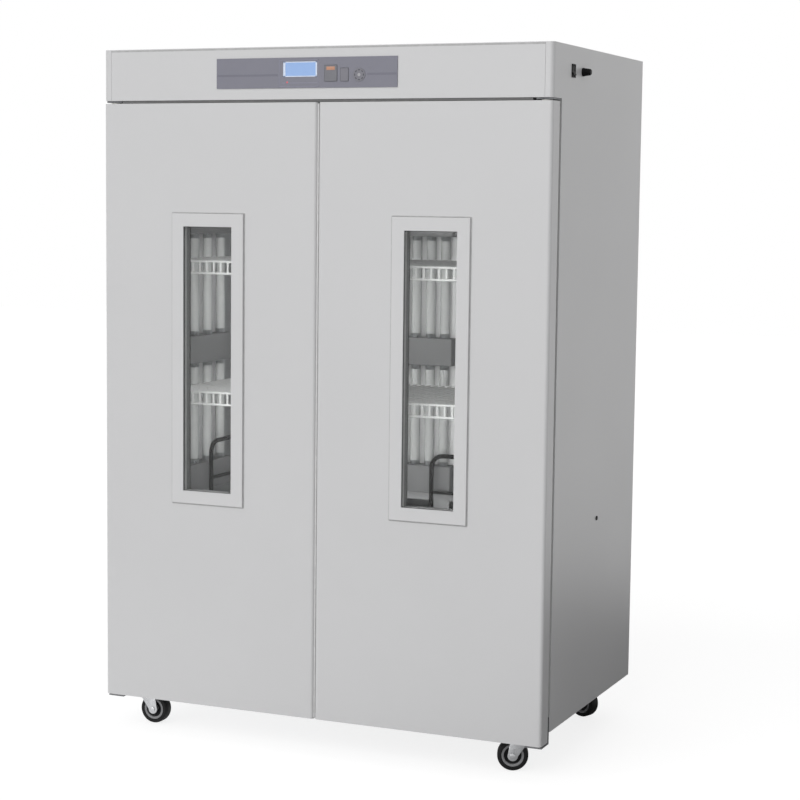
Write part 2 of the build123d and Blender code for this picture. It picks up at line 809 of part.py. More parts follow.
# Side fittings: the switch's bezel, the fuse holder and a port plug
switch_in = half_width - switch_depth
cavity_height = switch_height - 2 * switch_wall
cavity_width = switch_width - 2 * switch_wall
stem_radius = fuse_waist - 2
with BuildPart() as side_fittings:
    block(
        (half_width, half_width + switch_rim),
        (switch_y - switch_width / 2, switch_y + switch_width / 2),
        (switch_z - switch_height / 2, switch_z + switch_height / 2),
    )
    block(
        (switch_in, half_width),
        (switch_y - switch_width / 2 + switch_rim, switch_y + switch_width / 2 - switch_rim),
        (switch_z - switch_height / 2 + switch_rim, switch_z + switch_height / 2 - switch_rim),
    )
    block(
        (switch_in + switch_rim, half_width + switch_rim),
        (switch_y - cavity_width / 2, switch_y + cavity_width / 2),
        (switch_z - cavity_height / 2, switch_z + cavity_height / 2),
        mode=Mode.SUBTRACT,
    )
    with BuildSketch(facing_right(half_width)):
        with Locations((fuse_y, fuse_z)):
            Circle(fuse_radius)
    extrude(amount=fuse_flange)
    with BuildSketch(facing_right(half_width - fuse_depth)):
        with Locations((fuse_y, fuse_z)):
            Circle(fuse_waist)
    extrude(amount=fuse_depth + fuse_neck)
    with BuildSketch(facing_right(half_width + fuse_neck)):
        with Locations((fuse_y, fuse_z)):
            Circle(stem_radius + shaft_fit)
    extrude(amount=-fuse_depth, mode=Mode.SUBTRACT)
    with BuildSketch(facing_right(half_width)):
        with Locations((port_y, port_z)):
            Circle(port_radius)
    extrude(amount=switch_rim)
    with BuildSketch(facing_right(half_width)):
        with Locations((port_y, port_z)):
            Circle(port_radius - sheet)
    extrude(amount=-wall_foam / 2 - sheet)
write(side_fittings, "side_fittings")

# Power rocker: a shallow V face on a round back, turned to its off side
rocker_radius = cavity_height / 2 - running_gap
rocker_x = half_width - rocker_inset
rocker_half = cavity_width / 2 - running_gap
face_x = rocker_x + rocker_face
with BuildPart() as power_rocker:
    with BuildSketch(Plane.XZ.offset(-switch_y - rocker_half)):
        with Locations((rocker_x, switch_z)):
            Circle(rocker_radius)
        lift = 2 * rocker_radius * sin(radians(rocker_tilt))
        with BuildLine():
            # The face's upper half is upright at rest and its lower half stands out
            Polyline(
                (face_x, switch_z),
                (face_x, switch_z + 2 * rocker_radius),
                (rocker_x + 3 * rocker_radius, switch_z + 2 * rocker_radius),
                (rocker_x + 3 * rocker_radius, switch_z - 2 * rocker_radius),
                (face_x + 2 * lift, switch_z - 2 * rocker_radius),
                close=True,
            )
        make_face(mode=Mode.SUBTRACT)
    extrude(amount=2 * rocker_half)
write(power_rocker, "power_rocker")

# Fuse cap: a knob with flats whose stem turns in the holder
cap_in = half_width + fuse_neck + running_gap
with BuildPart() as fuse_cap:
    with BuildSketch(facing_right(cap_in)):
        with Locations((fuse_y, fuse_z)):
            RegularPolygon(fuse_radius, fuse_flats)
    extrude(amount=fuse_reach - fuse_neck - running_gap)
    with BuildSketch(facing_right(cap_in)):
        with Locations((fuse_y, fuse_z)):
            Circle(stem_radius)
    extrude(amount=-fuse_stem)
write(fuse_cap, "fuse_cap")

# Hinge plates: upper ones screw under the header, lower ones to the front frame
upper_plate = (header_bottom - hinge_plate, header_bottom)
lower_plate = (door_bottom - hinge_drop - hinge_plate, door_bottom - hinge_drop)
plate_in = hinge_x - hinge_inset_x
riser_top = base_top + riser_lift
with BuildPart() as hinge_plates:
    for side in (-1, 1):
        for level in (upper_plate, lower_plate):
            block(mirrored(side, plate_in, shell_x - running_gap), (hinge_y - hinge_plate_lap, face_y), level)
        block(
            mirrored(side, hinge_x - riser_inset, shell_x - running_gap),
            (face_y - hinge_plate, face_y),
            (lower_plate[0], riser_top),
        )
        with Locations((side * hinge_x, hinge_y, upper_plate[0] - hinge_pin_length / 2)):
            Cylinder(hinge_pin_radius, hinge_pin_length)
        with Locations((side * hinge_x, hinge_y, lower_plate[1] + hinge_pin_length / 2)):
            Cylinder(hinge_pin_radius, hinge_pin_length)
write(hinge_plates, "hinge_plates")


def door(side, name):
    """Builds one door: skin, foam core, liner, seal, glazed window and hinge bushes."""
    inner, outer = side * door_gap / 2, side * half_width
    window = Vector(side * window_x, 0)
    pane_size = (window_width + 2 * pane_lap, window_height + 2 * pane_lap)
    inner_pane = (window_width + 2 * inner_pane_lap, window_height + 2 * inner_pane_lap)
    collar = (window_width + 2 * collar_lap, window_height + 2 * collar_lap)
    spacer_back = door_front + pane + spacer_depth
    inner_pane_back = spacer_back + pane
    liner_front = door_back - liner_plate
    bush_length = hinge_pin_length + 2
    grip = sorted((inner + side * grip_inset, inner + side * (grip_inset + grip_width)))
    grip_y = (door_front + grip_front, door_front + grip_front + grip_depth)

    with BuildPart() as skin:
        for inset, mode in ((0, Mode.ADD), (sheet, Mode.SUBTRACT)):
            with BuildSketch(Plane.XY.offset(door_bottom + inset)) as plan:
                with BuildLine():
                    Polyline(
                        (inner + side * inset, door_front + inset),
                        (outer - side * inset, door_front + inset),
                        (outer - side * inset, door_back),
                        (inner + side * inset, door_back),
                        close=True,
                    )
                make_face()
                fillet(plan.vertices().group_by(Axis.Y)[0], door_radius - inset)
            extrude(amount=door_height - 2 * inset, mode=mode)
        with BuildSketch(facing_front(door_front)):
            with Locations((window.X, window_z)):
                Rectangle(pane_size[0] + seat_gap, pane_size[1] + seat_gap)
        extrude(amount=-sheet, mode=Mode.SUBTRACT)
        with Locations((side * hinge_x, hinge_y, (door_bottom + door_top) / 2)):
            Cylinder(bush_radius, door_height, mode=Mode.SUBTRACT)
        block(grip, grip_y, (door_bottom, door_bottom + sheet), mode=Mode.SUBTRACT)
        pocket = ((grip[0] - sheet, grip[1] + sheet), (grip_y[0] - sheet, grip_y[1] + sheet))
        block(*pocket, (door_bottom + sheet, door_bottom + grip_height + sheet))
        block(grip, grip_y, (door_bottom, door_bottom + grip_height), mode=Mode.SUBTRACT)
    write(skin, f"{name}_door_skin")

    with BuildPart() as core:
        with BuildSketch(Plane.XY.offset(door_bottom + sheet)) as plan:
            with BuildLine():
                Polyline(
                    (inner + side * sheet, door_front + sheet),
                    (outer - side * sheet, door_front + sheet),
                    (outer - side * sheet, liner_front),
                    (inner + side * sheet, liner_front),
                    close=True,
                )
            make_face()
            fillet(plan.vertices().group_by(Axis.Y)[0], door_radius - sheet)
        extrude(amount=door_height - 2 * sheet)
        for size, front, back in (
            (pane_size, door_front, spacer_back),
            (inner_pane, spacer_back, inner_pane_back),
            (collar, inner_pane_back, door_back),
        ):
            with BuildSketch(facing_front(front)):
                with Locations((window.X, window_z)):
                    Rectangle(size[0] + seat_gap, size[1] + seat_gap)
            extrude(amount=front - back, mode=Mode.SUBTRACT)
        for low in (door_bottom, door_top - bush_length):
            with Locations((side * hinge_x, hinge_y, low + bush_length / 2)):
                Cylinder(bush_radius, bush_length, mode=Mode.SUBTRACT)
        block(*pocket, (door_bottom, door_bottom + grip_height + sheet), mode=Mode.SUBTRACT)
    write(core, f"{name}_door_core")

    dyke_x = (side * (post_width / 2 + dyke_gap), side * (chamber_x - dyke_gap))
    dyke_z = (chamber_floor + dyke_gap, chamber_ceiling - dyke_gap)
    with BuildPart() as door_liner:
        block(
            (inner + side * sheet, outer - side * sheet),
            (liner_front, door_back),
            (door_bottom + sheet, door_top - sheet),
        )
        block(dyke_x, (door_back, door_back + dyke_depth), dyke_z)
        block(
            (dyke_x[0] + side * dyke_width, dyke_x[1] - side * dyke_width),
            (door_back, door_back + dyke_depth),
            (dyke_z[0] + dyke_width, dyke_z[1] - dyke_width),
            mode=Mode.SUBTRACT,
        )
        collar_hole = (collar[0] - 2 * collar_wall, collar[1] - 2 * collar_wall)
        for size, mode in ((collar, Mode.ADD), (collar_hole, Mode.SUBTRACT)):
            with BuildSketch(facing_front(inner_pane_back)):
                with Locations((window.X, window_z)):
                    Rectangle(*size)
            extrude(amount=inner_pane_back - door_back, mode=mode)
    write(door_liner, f"{name}_door_liner")

    gasket_reach = gasket_lap + gasket_width
    seal_x = mirrored(side, post_width / 2 - gasket_reach, chamber_x + gasket_reach)
    seal_z = (chamber_floor - gasket_reach, chamber_ceiling + gasket_reach)
    with BuildPart() as gasket:
        block(seal_x, (door_back, face_y - running_gap), seal_z)
        block(
            (seal_x[0] + side * gasket_width, seal_x[1] - side * gasket_width),
            (door_back, face_y - running_gap),
            (seal_z[0] + gasket_width, seal_z[1] - gasket_width),
            mode=Mode.SUBTRACT,
        )
        chamfer(gasket.faces().sort_by(Axis.Y)[-1].edges(), gasket_width / 4)
    write(gasket, f"{name}_door_gasket")

    with BuildPart() as bezel:
        with BuildSketch(facing_front(door_front)):
            with Locations((window.X, window_z)):
                Rectangle(window_width + 2 * bezel_border, window_height + 2 * bezel_border)
                Rectangle(window_width, window_height, mode=Mode.SUBTRACT)
        extrude(amount=bezel_height)
        fillet(bezel.faces().sort_by(Axis.Y)[0].outer_wire().edges(), bezel_height * 0.4)
    write(bezel, f"{name}_window_bezel")

    with BuildPart() as spacer:
        with BuildSketch(facing_front(door_front + pane)):
            with Locations((window.X, window_z)):
                Rectangle(*pane_size)
                Rectangle(window_width, window_height, mode=Mode.SUBTRACT)
        extrude(amount=-spacer_depth)
    write(spacer, f"{name}_window_spacer")

    with BuildPart() as glass:
        for size, front in ((pane_size, door_front), (inner_pane, spacer_back)):
            with BuildSketch(facing_front(front)):
                with Locations((window.X, window_z)):
                    Rectangle(*size)
            extrude(amount=-pane)
    write(glass, f"{name}_window_glass")

    lower_gap = door_bottom - lower_plate[1] - running_gap
    upper_gap = upper_plate[0] - door_top - running_gap
    with BuildPart() as bushes:
        for end, flange, way in ((door_bottom, lower_gap, 1), (door_top, upper_gap, -1)):
            with Locations((side * hinge_x, hinge_y, end + way * bush_length / 2)):
                Cylinder(bush_radius, bush_length)
            with Locations((side * hinge_x, hinge_y, end - way * flange / 2)):
                Cylinder(bush_flange_radius, flange)
            with Locations((side * hinge_x, hinge_y, end + way * (bush_length - 2 - flange) / 2)):
                Cylinder(hinge_pin_radius + shaft_fit, bush_length - 2 + flange, mode=Mode.SUBTRACT)
    write(bushes, f"{name}_hinge_bushes")


door(-1, "left")
door(1, "right")

# Castor plates: each with a kingpin whose head holds the fork
crown_top = underside - plate_thickness - plate_gap
crown_bottom = crown_top - crown
castors = {
    "front_left": (-castor_x, front_castor_y, 0.0),
    "front_right": (castor_x, front_castor_y, 200.0),
    "back_left": (-castor_x, back_castor_y, 35.0),
    "back_right": (castor_x, back_castor_y, 160.0),
}
with BuildPart() as castor_plates:
    for castor_at_x, castor_at_y, _ in castors.values():
        block(
            (castor_at_x - plate_length / 2, castor_at_x + plate_length / 2),
            (castor_at_y - plate_depth / 2, castor_at_y + plate_depth / 2),
            (underside - plate_thickness, underside),
        )
        with BuildSketch(Plane.XY.offset(underside - plate_thickness)):
            with Locations((castor_at_x, castor_at_y)):
                RegularPolygon(race_radius, race_sides)
        extrude(amount=crown_top + race_height + running_gap - underside + plate_thickness)
        pin_bottom = crown_bottom - running_gap
        pin_top = underside - plate_thickness
        with Locations((castor_at_x, castor_at_y, (pin_bottom + pin_top) / 2)):
            Cylinder(kingpin_radius, pin_top - pin_bottom)
        with Locations((castor_at_x, castor_at_y, pin_bottom - pin_head / 2)):
            Cylinder(kingpin_radius + pin_rim, pin_head)
write(castor_plates, "castor_plates")


def castor(name, x, y, swivel):
    """Builds one castor's fork and wheel, with the wheel trailing towards swivel degrees."""
    along = Vector(cos(radians(swivel)), sin(radians(swivel)), 0)
    across = Vector(sin(radians(swivel)), -cos(radians(swivel)), 0)
    pin = Vector(x, y, 0)
    fork_half = wheel_width / 2 + fork_side_gap + fork_wall
    side_view = Plane(origin=pin + across * fork_half, x_dir=along, z_dir=across)
    with BuildPart() as fork:
        with BuildSketch(side_view):
            with BuildLine():
                Polyline(
                    (-race_radius, crown_top), (race_radius + 6, crown_top),
                    (castor_trail + fork_end, wheel_radius), (castor_trail - fork_end, wheel_radius),
                    (-race_radius, crown_bottom - 6),
                    close=True,
                )
            make_face()
            with Locations((castor_trail, wheel_radius)):
                RegularPolygon(fork_end, fork_end_sides, major_radius=False)
        extrude(amount=-2 * fork_half)
        slot = wheel_width / 2 + fork_side_gap
        with Locations(Plane(origin=pin, x_dir=along, z_dir=(0, 0, 1))):
            with Locations((0, 0, crown_bottom / 2)):
                Box(4 * wheel_radius, 2 * slot, crown_bottom, mode=Mode.SUBTRACT)
            with BuildSketch(Plane(origin=pin + Vector(0, 0, crown_top), x_dir=along)):
                RegularPolygon(race_radius, race_sides)
            extrude(amount=race_height)
            with Locations((0, 0, crown_top)):
                Cylinder(kingpin_radius + shaft_fit, 4 * race_height, mode=Mode.SUBTRACT)
        with BuildSketch(side_view):
            with Locations((castor_trail, wheel_radius)):
                Circle(axle_radius + shaft_fit)
        extrude(amount=-2 * fork_half, mode=Mode.SUBTRACT)
        with BuildSketch(side_view):
            with Locations((castor_trail, wheel_radius)):
                Circle(axle_radius + axle_head)
        extrude(amount=axle_head)
        with BuildSketch(side_view):
            with Locations((castor_trail, wheel_radius)):
                Circle(axle_radius)
        extrude(amount=-2 * fork_half)
    write(fork, f"{name}_castor_fork")

    axle = pin + along * castor_trail + Vector(0, 0, wheel_radius)
    with BuildPart() as wheel:
        with BuildSketch(Plane(origin=axle + across * (wheel_width / 2), x_dir=along, z_dir=across)):
            Circle(wheel_radius)
            Circle(axle_radius + shaft_fit, mode=Mode.SUBTRACT)
        extrude(amount=-wheel_width)
        for side in (-1, 1):
            face = Plane(origin=axle + across * (side * wheel_width / 2), x_dir=along, z_dir=across * side)
            with BuildSketch(face):
                RegularPolygon(wheel_radius - tyre_depth, hub_sides)
                RegularPolygon(axle_radius + hub_wall, hub_sides, mode=Mode.SUBTRACT)
            extrude(amount=-hub_dish, mode=Mode.SUBTRACT)
    write(wheel, f"{name}_castor_wheel")


for name, (castor_at_x, castor_at_y, swivel) in castors.items():
    castor(name, castor_at_x, castor_at_y, swivel)
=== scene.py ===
"""Plant growth chamber: the looks of its two doors, header, wire shelves, lamps and castors.

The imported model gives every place. Each class below dresses one sub-assembly of it, in metres,
with +X to the right as seen from the doors, +Y towards the back and +Z up.
"""

from __future__ import annotations

import json
import logging
import math
from dataclasses import dataclass, replace
from enum import Enum
from functools import cache
from typing import Any, Iterable, Sequence

import bmesh
import bpy
from mathutils import Matrix, Vector

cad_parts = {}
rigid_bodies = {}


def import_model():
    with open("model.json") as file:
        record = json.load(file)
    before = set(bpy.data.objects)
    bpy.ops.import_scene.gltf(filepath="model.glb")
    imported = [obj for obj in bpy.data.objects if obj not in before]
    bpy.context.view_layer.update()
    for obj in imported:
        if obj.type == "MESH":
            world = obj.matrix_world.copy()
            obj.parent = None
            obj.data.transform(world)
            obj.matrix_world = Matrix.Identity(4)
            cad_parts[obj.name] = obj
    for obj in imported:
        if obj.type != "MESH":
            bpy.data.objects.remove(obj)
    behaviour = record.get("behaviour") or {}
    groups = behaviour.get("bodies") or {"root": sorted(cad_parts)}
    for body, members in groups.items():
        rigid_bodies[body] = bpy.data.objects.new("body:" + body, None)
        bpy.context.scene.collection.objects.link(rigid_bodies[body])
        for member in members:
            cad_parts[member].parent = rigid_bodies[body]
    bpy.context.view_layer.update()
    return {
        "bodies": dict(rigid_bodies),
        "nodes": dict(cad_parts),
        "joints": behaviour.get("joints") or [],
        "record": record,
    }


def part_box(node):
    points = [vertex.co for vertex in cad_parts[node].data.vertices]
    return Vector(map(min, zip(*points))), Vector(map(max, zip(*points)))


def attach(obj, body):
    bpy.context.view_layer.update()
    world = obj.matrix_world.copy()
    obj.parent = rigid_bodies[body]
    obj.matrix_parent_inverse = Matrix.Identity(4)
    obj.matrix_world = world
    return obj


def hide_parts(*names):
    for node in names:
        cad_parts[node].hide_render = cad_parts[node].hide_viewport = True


log = logging.getLogger("chamber")

MM = 0.001
SMOOTH_ANGLE = math.radians(38)
Colour = tuple[float, float, float]
Point = tuple[float, float, float]
RIGHTWARDS: Point = (1.0, 0.0, 0.0)
BACKWARDS: Point = (0.0, 1.0, 0.0)
FORWARDS: Point = (0.0, -1.0, 0.0)
UPWARDS: Point = (0.0, 0.0, 1.0)
DOWNWARDS: Point = (0.0, 0.0, -1.0)
SCREW_SIDES = 20
SCREW_TURN = 1.5


class Side(Enum):
    """The left or the right half of the cabinet, with its sign along X."""

    LEFT = -1
    RIGHT = 1

    @property
    def word(self) -> str:
        """The side's name as the nodes spell it."""
        return self.name.lower()


def shade(red: float, green: float, blue: float) -> Colour:
    """Gives the linear colour of a screen colour.

    Args:
        red: Red from 0 to 255.
        green: Green from 0 to 255.
        blue: Blue from 0 to 255.

    Returns:
        The colour as a shader reads it.
    """
    parts = []
    for value in (red, green, blue):
        v = value / 255
        parts.append(v / 12.92 if v <= 0.04045 else ((v + 0.055) / 1.055) ** 2.4)
    return tuple(parts)


def tinted(colour: Colour, share: float) -> tuple[float, float, float, float]:
    """Gives a colour times a share, as four numbers, for a node."""
    return (*(min(1.0, part * share) for part in colour), 1.0)


# Finishes


class Bench:
    """A material in the making: its shader and the nodes that drive it.

    Args:
        name: The material's name.
    """

    def __init__(self, name: str) -> None:
        self.material = bpy.data.materials.new(name)
        self.material.use_nodes = True
        tree = self.material.node_tree
        self.nodes, self.links = tree.nodes, tree.links
        self.shader = self.nodes["Principled BSDF"]
        self.output = self.nodes["Material Output"]
        self.place = self.nodes.new("ShaderNodeTexCoord").outputs["Object"]
        self.normal = None

    def fix(self, **values: Any) -> None:
        """Sets plain values on the shader, with underscores for spaces in the sockets' names."""
        for name, value in values.items():
            self.shader.inputs[name.replace("_", " ")].default_value = value

    def drive(self, name: str, socket: Any) -> None:
        """Links a socket to one of the shader's inputs."""
        self.links.new(socket, self.shader.inputs[name])

    def stretched(self, scale: Sequence[float]) -> Any:
        """Gives the object's coordinates with each axis scaled."""
        node = self.nodes.new("ShaderNodeMapping")
        node.inputs["Scale"].default_value = scale
        self.links.new(self.place, node.inputs["Vector"])
        return node.outputs["Vector"]

    def noise(self, scale: float, detail: float = 2.0, stretch: Sequence[float] | None = None) -> Any:
        """Gives cloudy noise.

        Args:
            scale: Its cells in a metre.
            detail: How many finer layers it has.
            stretch: How the axes are scaled first.

        Returns:
            The noise's socket, from 0 to 1.
        """
        node = self.nodes.new("ShaderNodeTexNoise")
        node.inputs["Scale"].default_value = scale
        node.inputs["Detail"].default_value = detail
        self.links.new(self.stretched(stretch) if stretch else self.place, node.inputs["Vector"])
        return node.outputs["Fac"]

    def cells(self, scale: float, output: str = "Distance") -> Any:
        """Gives a pattern of cells, as their distance or their colour."""
        node = self.nodes.new("ShaderNodeTexVoronoi")
        node.inputs["Scale"].default_value = scale
        self.links.new(self.place, node.inputs["Vector"])
        return node.outputs[output]

    def axis(self, name: str) -> Any:
        """Gives one of the object's coordinates."""
        node = self.nodes.new("ShaderNodeSeparateXYZ")
        self.links.new(self.place, node.inputs[0])
        return node.outputs[name]

    def spread(self, value: Any, low: float, high: float, start: float = 0.0, end: float = 1.0) -> Any:
        """Maps a socket's values from start and end to low and high, and clamps them."""
        node = self.nodes.new("ShaderNodeMapRange")
        self.links.new(value, node.inputs["Value"])
        for name, number in (("From Min", start), ("From Max", end), ("To Min", low), ("To Max", high)):
            node.inputs[name].default_value = number
        return node.outputs["Result"]

    def blend(self, factor: Any, first: Any, second: Any) -> Any:
        """Mixes two colours, each a socket or four numbers, by a factor's socket."""
        node = self.nodes.new("ShaderNodeMix")
        node.data_type = "RGBA"
        self.links.new(factor, node.inputs[0])
        for index, value in ((6, first), (7, second)):
            if isinstance(value, tuple):
                node.inputs[index].default_value = value
            else:
                self.links.new(value, node.inputs[index])
        return node.outputs[2]

    def vary(self, colour: Colour, factor: Any, low: float = 0.95, high: float = 1.04) -> None:
        """Lets the surface's colour drift between two shares of it by a factor."""
        self.drive("Base Color", self.blend(factor, tinted(colour, low), tinted(colour, high)))

    def relief(self, height: Any, depth: float, strength: float = 1.0) -> None:
        """Adds a bump of that depth in metres on top of those before it."""
        node = self.nodes.new("ShaderNodeBump")
        node.inputs["Strength"].default_value = strength
        node.inputs["Distance"].default_value = depth
        self.links.new(height, node.inputs["Height"])
        if self.normal is not None:
            self.links.new(self.normal, node.inputs["Normal"])
        self.normal = node.outputs["Normal"]
        self.drive("Normal", self.normal)

    def wear(self, scale: float, detail: float, low: float, high: float, start: float = 0.0,
             end: float = 1.0) -> None:
        """Lets the roughness drift with noise.

        Args:
            scale: The noise's cells in a metre.
            detail: How many finer layers it has.
            low: The lowest roughness.
            high: The highest roughness.
            start: The noise that gives the lowest.
            end: The noise that gives the highest.
        """
        self.drive("Roughness", self.spread(self.noise(scale, detail), low, high, start, end))

    def cover(self, share: Any, over: Any) -> None:
        """Mixes another shader over the surface's own by a share."""
        mix = self.nodes.new("ShaderNodeMixShader")
        for index, socket in enumerate((share, self.shader.outputs[0], over)):
            self.links.new(socket, mix.inputs[index])
        self.links.new(mix.outputs[0], self.output.inputs["Surface"])


@dataclass(frozen=True)
class Finish:
    """A finish with its name and colour; each kind lays its own coat."""

    name: str
    colour: Colour

    def material(self) -> bpy.types.Material:
        """Builds the material."""
        bench = Bench(self.name)
        self.coat(bench)
        return bench.material

    def coat(self, bench: Bench) -> None:
        """Lays the finish on a material in the making."""
        raise NotImplementedError


@dataclass(frozen=True)
class Enamel(Finish):
    """Stoved enamel on sheet steel: orange peel, faint clouding and a soft gloss."""

    gloss_low: float = 0.3
    gloss_high: float = 0.35
    peel: float = 0.006 * MM

    def coat(self, bench: Bench) -> None:
        """Lays the finish on a material in the making."""
        bench.vary(self.colour, bench.noise(3.0, 3.0), 0.975, 1.02)
        bench.wear(6.0, 2.0, self.gloss_low, self.gloss_high, 0.2, 0.8)
        bench.relief(bench.noise(240.0, 1.0), self.peel, 0.35)


@dataclass(frozen=True)
class BrushedSheet(Finish):
    """Brushed stainless sheet: fine streaks along its grain."""

    rough: float = 0.34
    stretch: Point = (1.0, 1.0, 0.02)

    def coat(self, bench: Bench) -> None:
        """Lays the finish on a material in the making."""
        streaks = bench.noise(900.0, 2.0, self.stretch)
        bench.vary(self.colour, streaks, 0.9, 1.08)
        bench.wear(5.0, 4.0, self.rough - 0.05, self.rough + 0.1, 0.3, 0.7)
        bench.relief(streaks, 0.01 * MM, 0.3)
        bench.fix(Metallic=1.0, Anisotropic=0.4)


@dataclass(frozen=True)
class Zinc(Finish):
    """Zinc plate: a cool metal with a faint spangle and duller handling marks."""

    spangle: float = 140.0
    rough: float = 0.38

    def coat(self, bench: Bench) -> None:
        """Lays the finish on a material in the making."""
        flakes = bench.cells(self.spangle, "Color")
        grey = bench.nodes.new("ShaderNodeRGBToBW")
        bench.links.new(flakes, grey.inputs[0])
        bench.vary(self.colour, grey.outputs[0], 0.86, 1.1)
        bench.wear(60.0, 4.0, self.rough - 0.08, self.rough + 0.14, 0.3, 0.7)
        bench.relief(bench.noise(700.0, 2.0), 0.01 * MM, 0.3)
        bench.fix(Metallic=0.9)


@dataclass(frozen=True)
class Moulding(Finish):
    """Moulded plastic: a fine spark-eroded grain with a slight sheen."""

    rough: float = 0.5
    grain: float = 1400.0
    depth: float = 0.02 * MM
    sheen: float = 0.5

    def coat(self, bench: Bench) -> None:
        """Lays the finish on a material in the making."""
        bench.vary(self.colour, bench.noise(30.0, 3.0), 0.93, 1.06)
        bench.wear(110.0, 3.0, self.rough - 0.06, self.rough + 0.08, 0.3, 0.7)
        bench.relief(bench.cells(self.grain), self.depth, 0.4)
        bench.fix(Specular_IOR_Level=self.sheen)


@dataclass(frozen=True)
class Rubber(Finish):
    """Black or grey rubber: matt, with a dusty bloom and a fine skin."""

    bloom: float = 1.9

    def coat(self, bench: Bench) -> None:
        """Lays the finish on a material in the making."""
        dust = bench.spread(bench.noise(70.0, 5.0), 0.0, 1.0, 0.42, 0.72)
        bench.vary(self.colour, dust, 0.9, self.bloom)
        bench.drive("Roughness", bench.spread(dust, 0.55, 0.8))
        bench.relief(bench.noise(900.0, 3.0), 0.04 * MM, 0.5)
        bench.fix(Sheen_Weight=0.05, Specular_IOR_Level=0.25)


@dataclass(frozen=True)
class ClearPane(Finish):
    """Low-reflection glass that lets the lamps through, with a thin dusty film and faint wipe marks."""

    index: float = 1.18
    film: float = 0.004

    def coat(self, bench: Bench) -> None:
        """Lays the finish on a material in the making."""
        bench.fix(Transmission_Weight=1.0 - self.film, IOR=self.index, Base_Color=(*self.colour, 1.0))
        bench.drive("Roughness", bench.spread(bench.noise(9.0, 4.0, (1.0, 1.0, 0.3)), 0.0, 0.03, 0.5, 0.8))
        clear = bench.nodes.new("ShaderNodeBsdfTransparent")
        clear.inputs["Color"].default_value = (*self.colour, 1.0)
        path = bench.nodes.new("ShaderNodeLightPath")
        bench.cover(path.outputs["Is Shadow Ray"], clear.outputs[0])


@dataclass(frozen=True)
class CoatedTube(Finish):
    """A lamp's white coat under its glass, clouded a little."""

    def coat(self, bench: Bench) -> None:
        """Lays the finish on a material in the making."""
        bench.vary(self.colour, bench.noise(45.0, 3.0), 0.93, 1.05)
        bench.wear(300.0, 2.0, 0.12, 0.2)
        bench.relief(bench.noise(160.0, 1.0), 0.01 * MM, 0.2)
        bench.fix(Coat_Weight=0.6, Coat_Roughness=0.05)


@dataclass(frozen=True)
class OxideTube(Finish):
    """Heater sheath: dark oxide with heat tints."""

    tint: Colour

    def coat(self, bench: Bench) -> None:
        """Lays the finish on a material in the making."""
        tints = bench.spread(bench.noise(26.0, 4.0), 0.0, 1.0, 0.35, 0.75)
        bench.drive("Base Color", bench.blend(tints, tinted(self.colour, 1.0), tinted(self.tint, 1.0)))
        bench.wear(220.0, 3.0, 0.42, 0.62, 0.3, 0.7)
        bench.relief(bench.noise(800.0, 2.0), 0.02 * MM, 0.4)
        bench.fix(Metallic=0.4)


@dataclass(frozen=True)
class Film(Finish):
    """The control panel's printed film: a stippled satin skin."""

    def coat(self, bench: Bench) -> None:
        """Lays the finish on a material in the making."""
        bench.vary(self.colour, bench.noise(14.0, 2.0), 0.96, 1.05)
        bench.wear(60.0, 2.0, 0.36, 0.46)
        bench.relief(bench.cells(2600.0), 0.012 * MM, 0.5)
        bench.fix(Coat_Weight=0.1, Coat_Roughness=0.3)


@dataclass(frozen=True)
class LitScreen(Finish):
    """A backlit display's glass, with a faint grain of cells."""

    glow: float

    def coat(self, bench: Bench) -> None:
        """Lays the finish on a material in the making."""
        dots = bench.spread(bench.cells(1500.0), 0.0, 1.0, 0.1, 0.6)
        bench.vary(self.colour, dots, 0.96, 1.03)
        bench.fix(Emission_Color=(*self.colour, 1.0), Emission_Strength=self.glow)
        bench.fix(Coat_Weight=0.5, Coat_Roughness=0.06)
        bench.wear(90.0, 2.0, 0.16, 0.26)


@dataclass(frozen=True)
class Spacer(Finish):
    """The window's spacer: a grey bar near the outer pane and a darker seal behind it."""

    seal: Colour
    change_y: float

    def coat(self, bench: Bench) -> None:
        """Lays the finish on a material in the making."""
        deep = bench.spread(bench.axis("Y"), 0.0, 1.0, self.change_y, self.change_y + 1.5 * MM)
        wear = bench.noise(120.0, 3.0)
        bar = bench.blend(wear, tinted(self.colour, 0.92), tinted(self.colour, 1.08))
        bench.drive("Base Color", bench.blend(deep, bar, tinted(self.seal, 1.0)))
        bench.drive("Roughness", bench.spread(deep, 0.42, 0.68))
        bench.relief(bench.noise(500.0, 2.0), 0.03 * MM, 0.4)


@dataclass(frozen=True)
class CellFoam(Finish):
    """Rigid foam: pale closed cells."""

    def coat(self, bench: Bench) -> None:
        """Lays the finish on a material in the making."""
        bench.vary(self.colour, bench.noise(40.0, 4.0), 0.88, 1.05)
        bench.relief(bench.cells(650.0), 0.4 * MM, 0.8)
        bench.fix(Roughness=0.9)


CASE = Enamel("case enamel", shade(207, 207, 208))
DOOR = Enamel("door enamel", shade(207, 207, 208))
BEZEL = Enamel("window frame enamel", shade(209, 209, 210), 0.34, 0.44)
GALVANISED = Zinc("galvanised sheet", shade(186, 188, 192), 90.0, 0.42)
PLATED = Zinc("zinc plated pressing", shade(196, 197, 199), 320.0, 0.3)
STAINLESS = BrushedSheet("stainless liner", shade(176, 177, 178))
UPRIGHT = BrushedSheet("stainless upright", shade(168, 169, 170), 0.38)
DUCT = Enamel("duct enamel", shade(170, 170, 171), 0.4, 0.55)
REFLECTOR = Enamel("lamp reflector enamel", shade(238, 238, 238), 0.3, 0.42)
SOCKET_RAIL = Enamel("lamp rail enamel", shade(124, 124, 125), 0.4, 0.52)
LINER_PLASTIC = Moulding("door liner plastic", shade(214, 214, 214), 0.45, 900.0)
WIRE = Moulding("shelf coating", shade(212, 212, 211), 0.3, 500.0, 0.03 * MM)
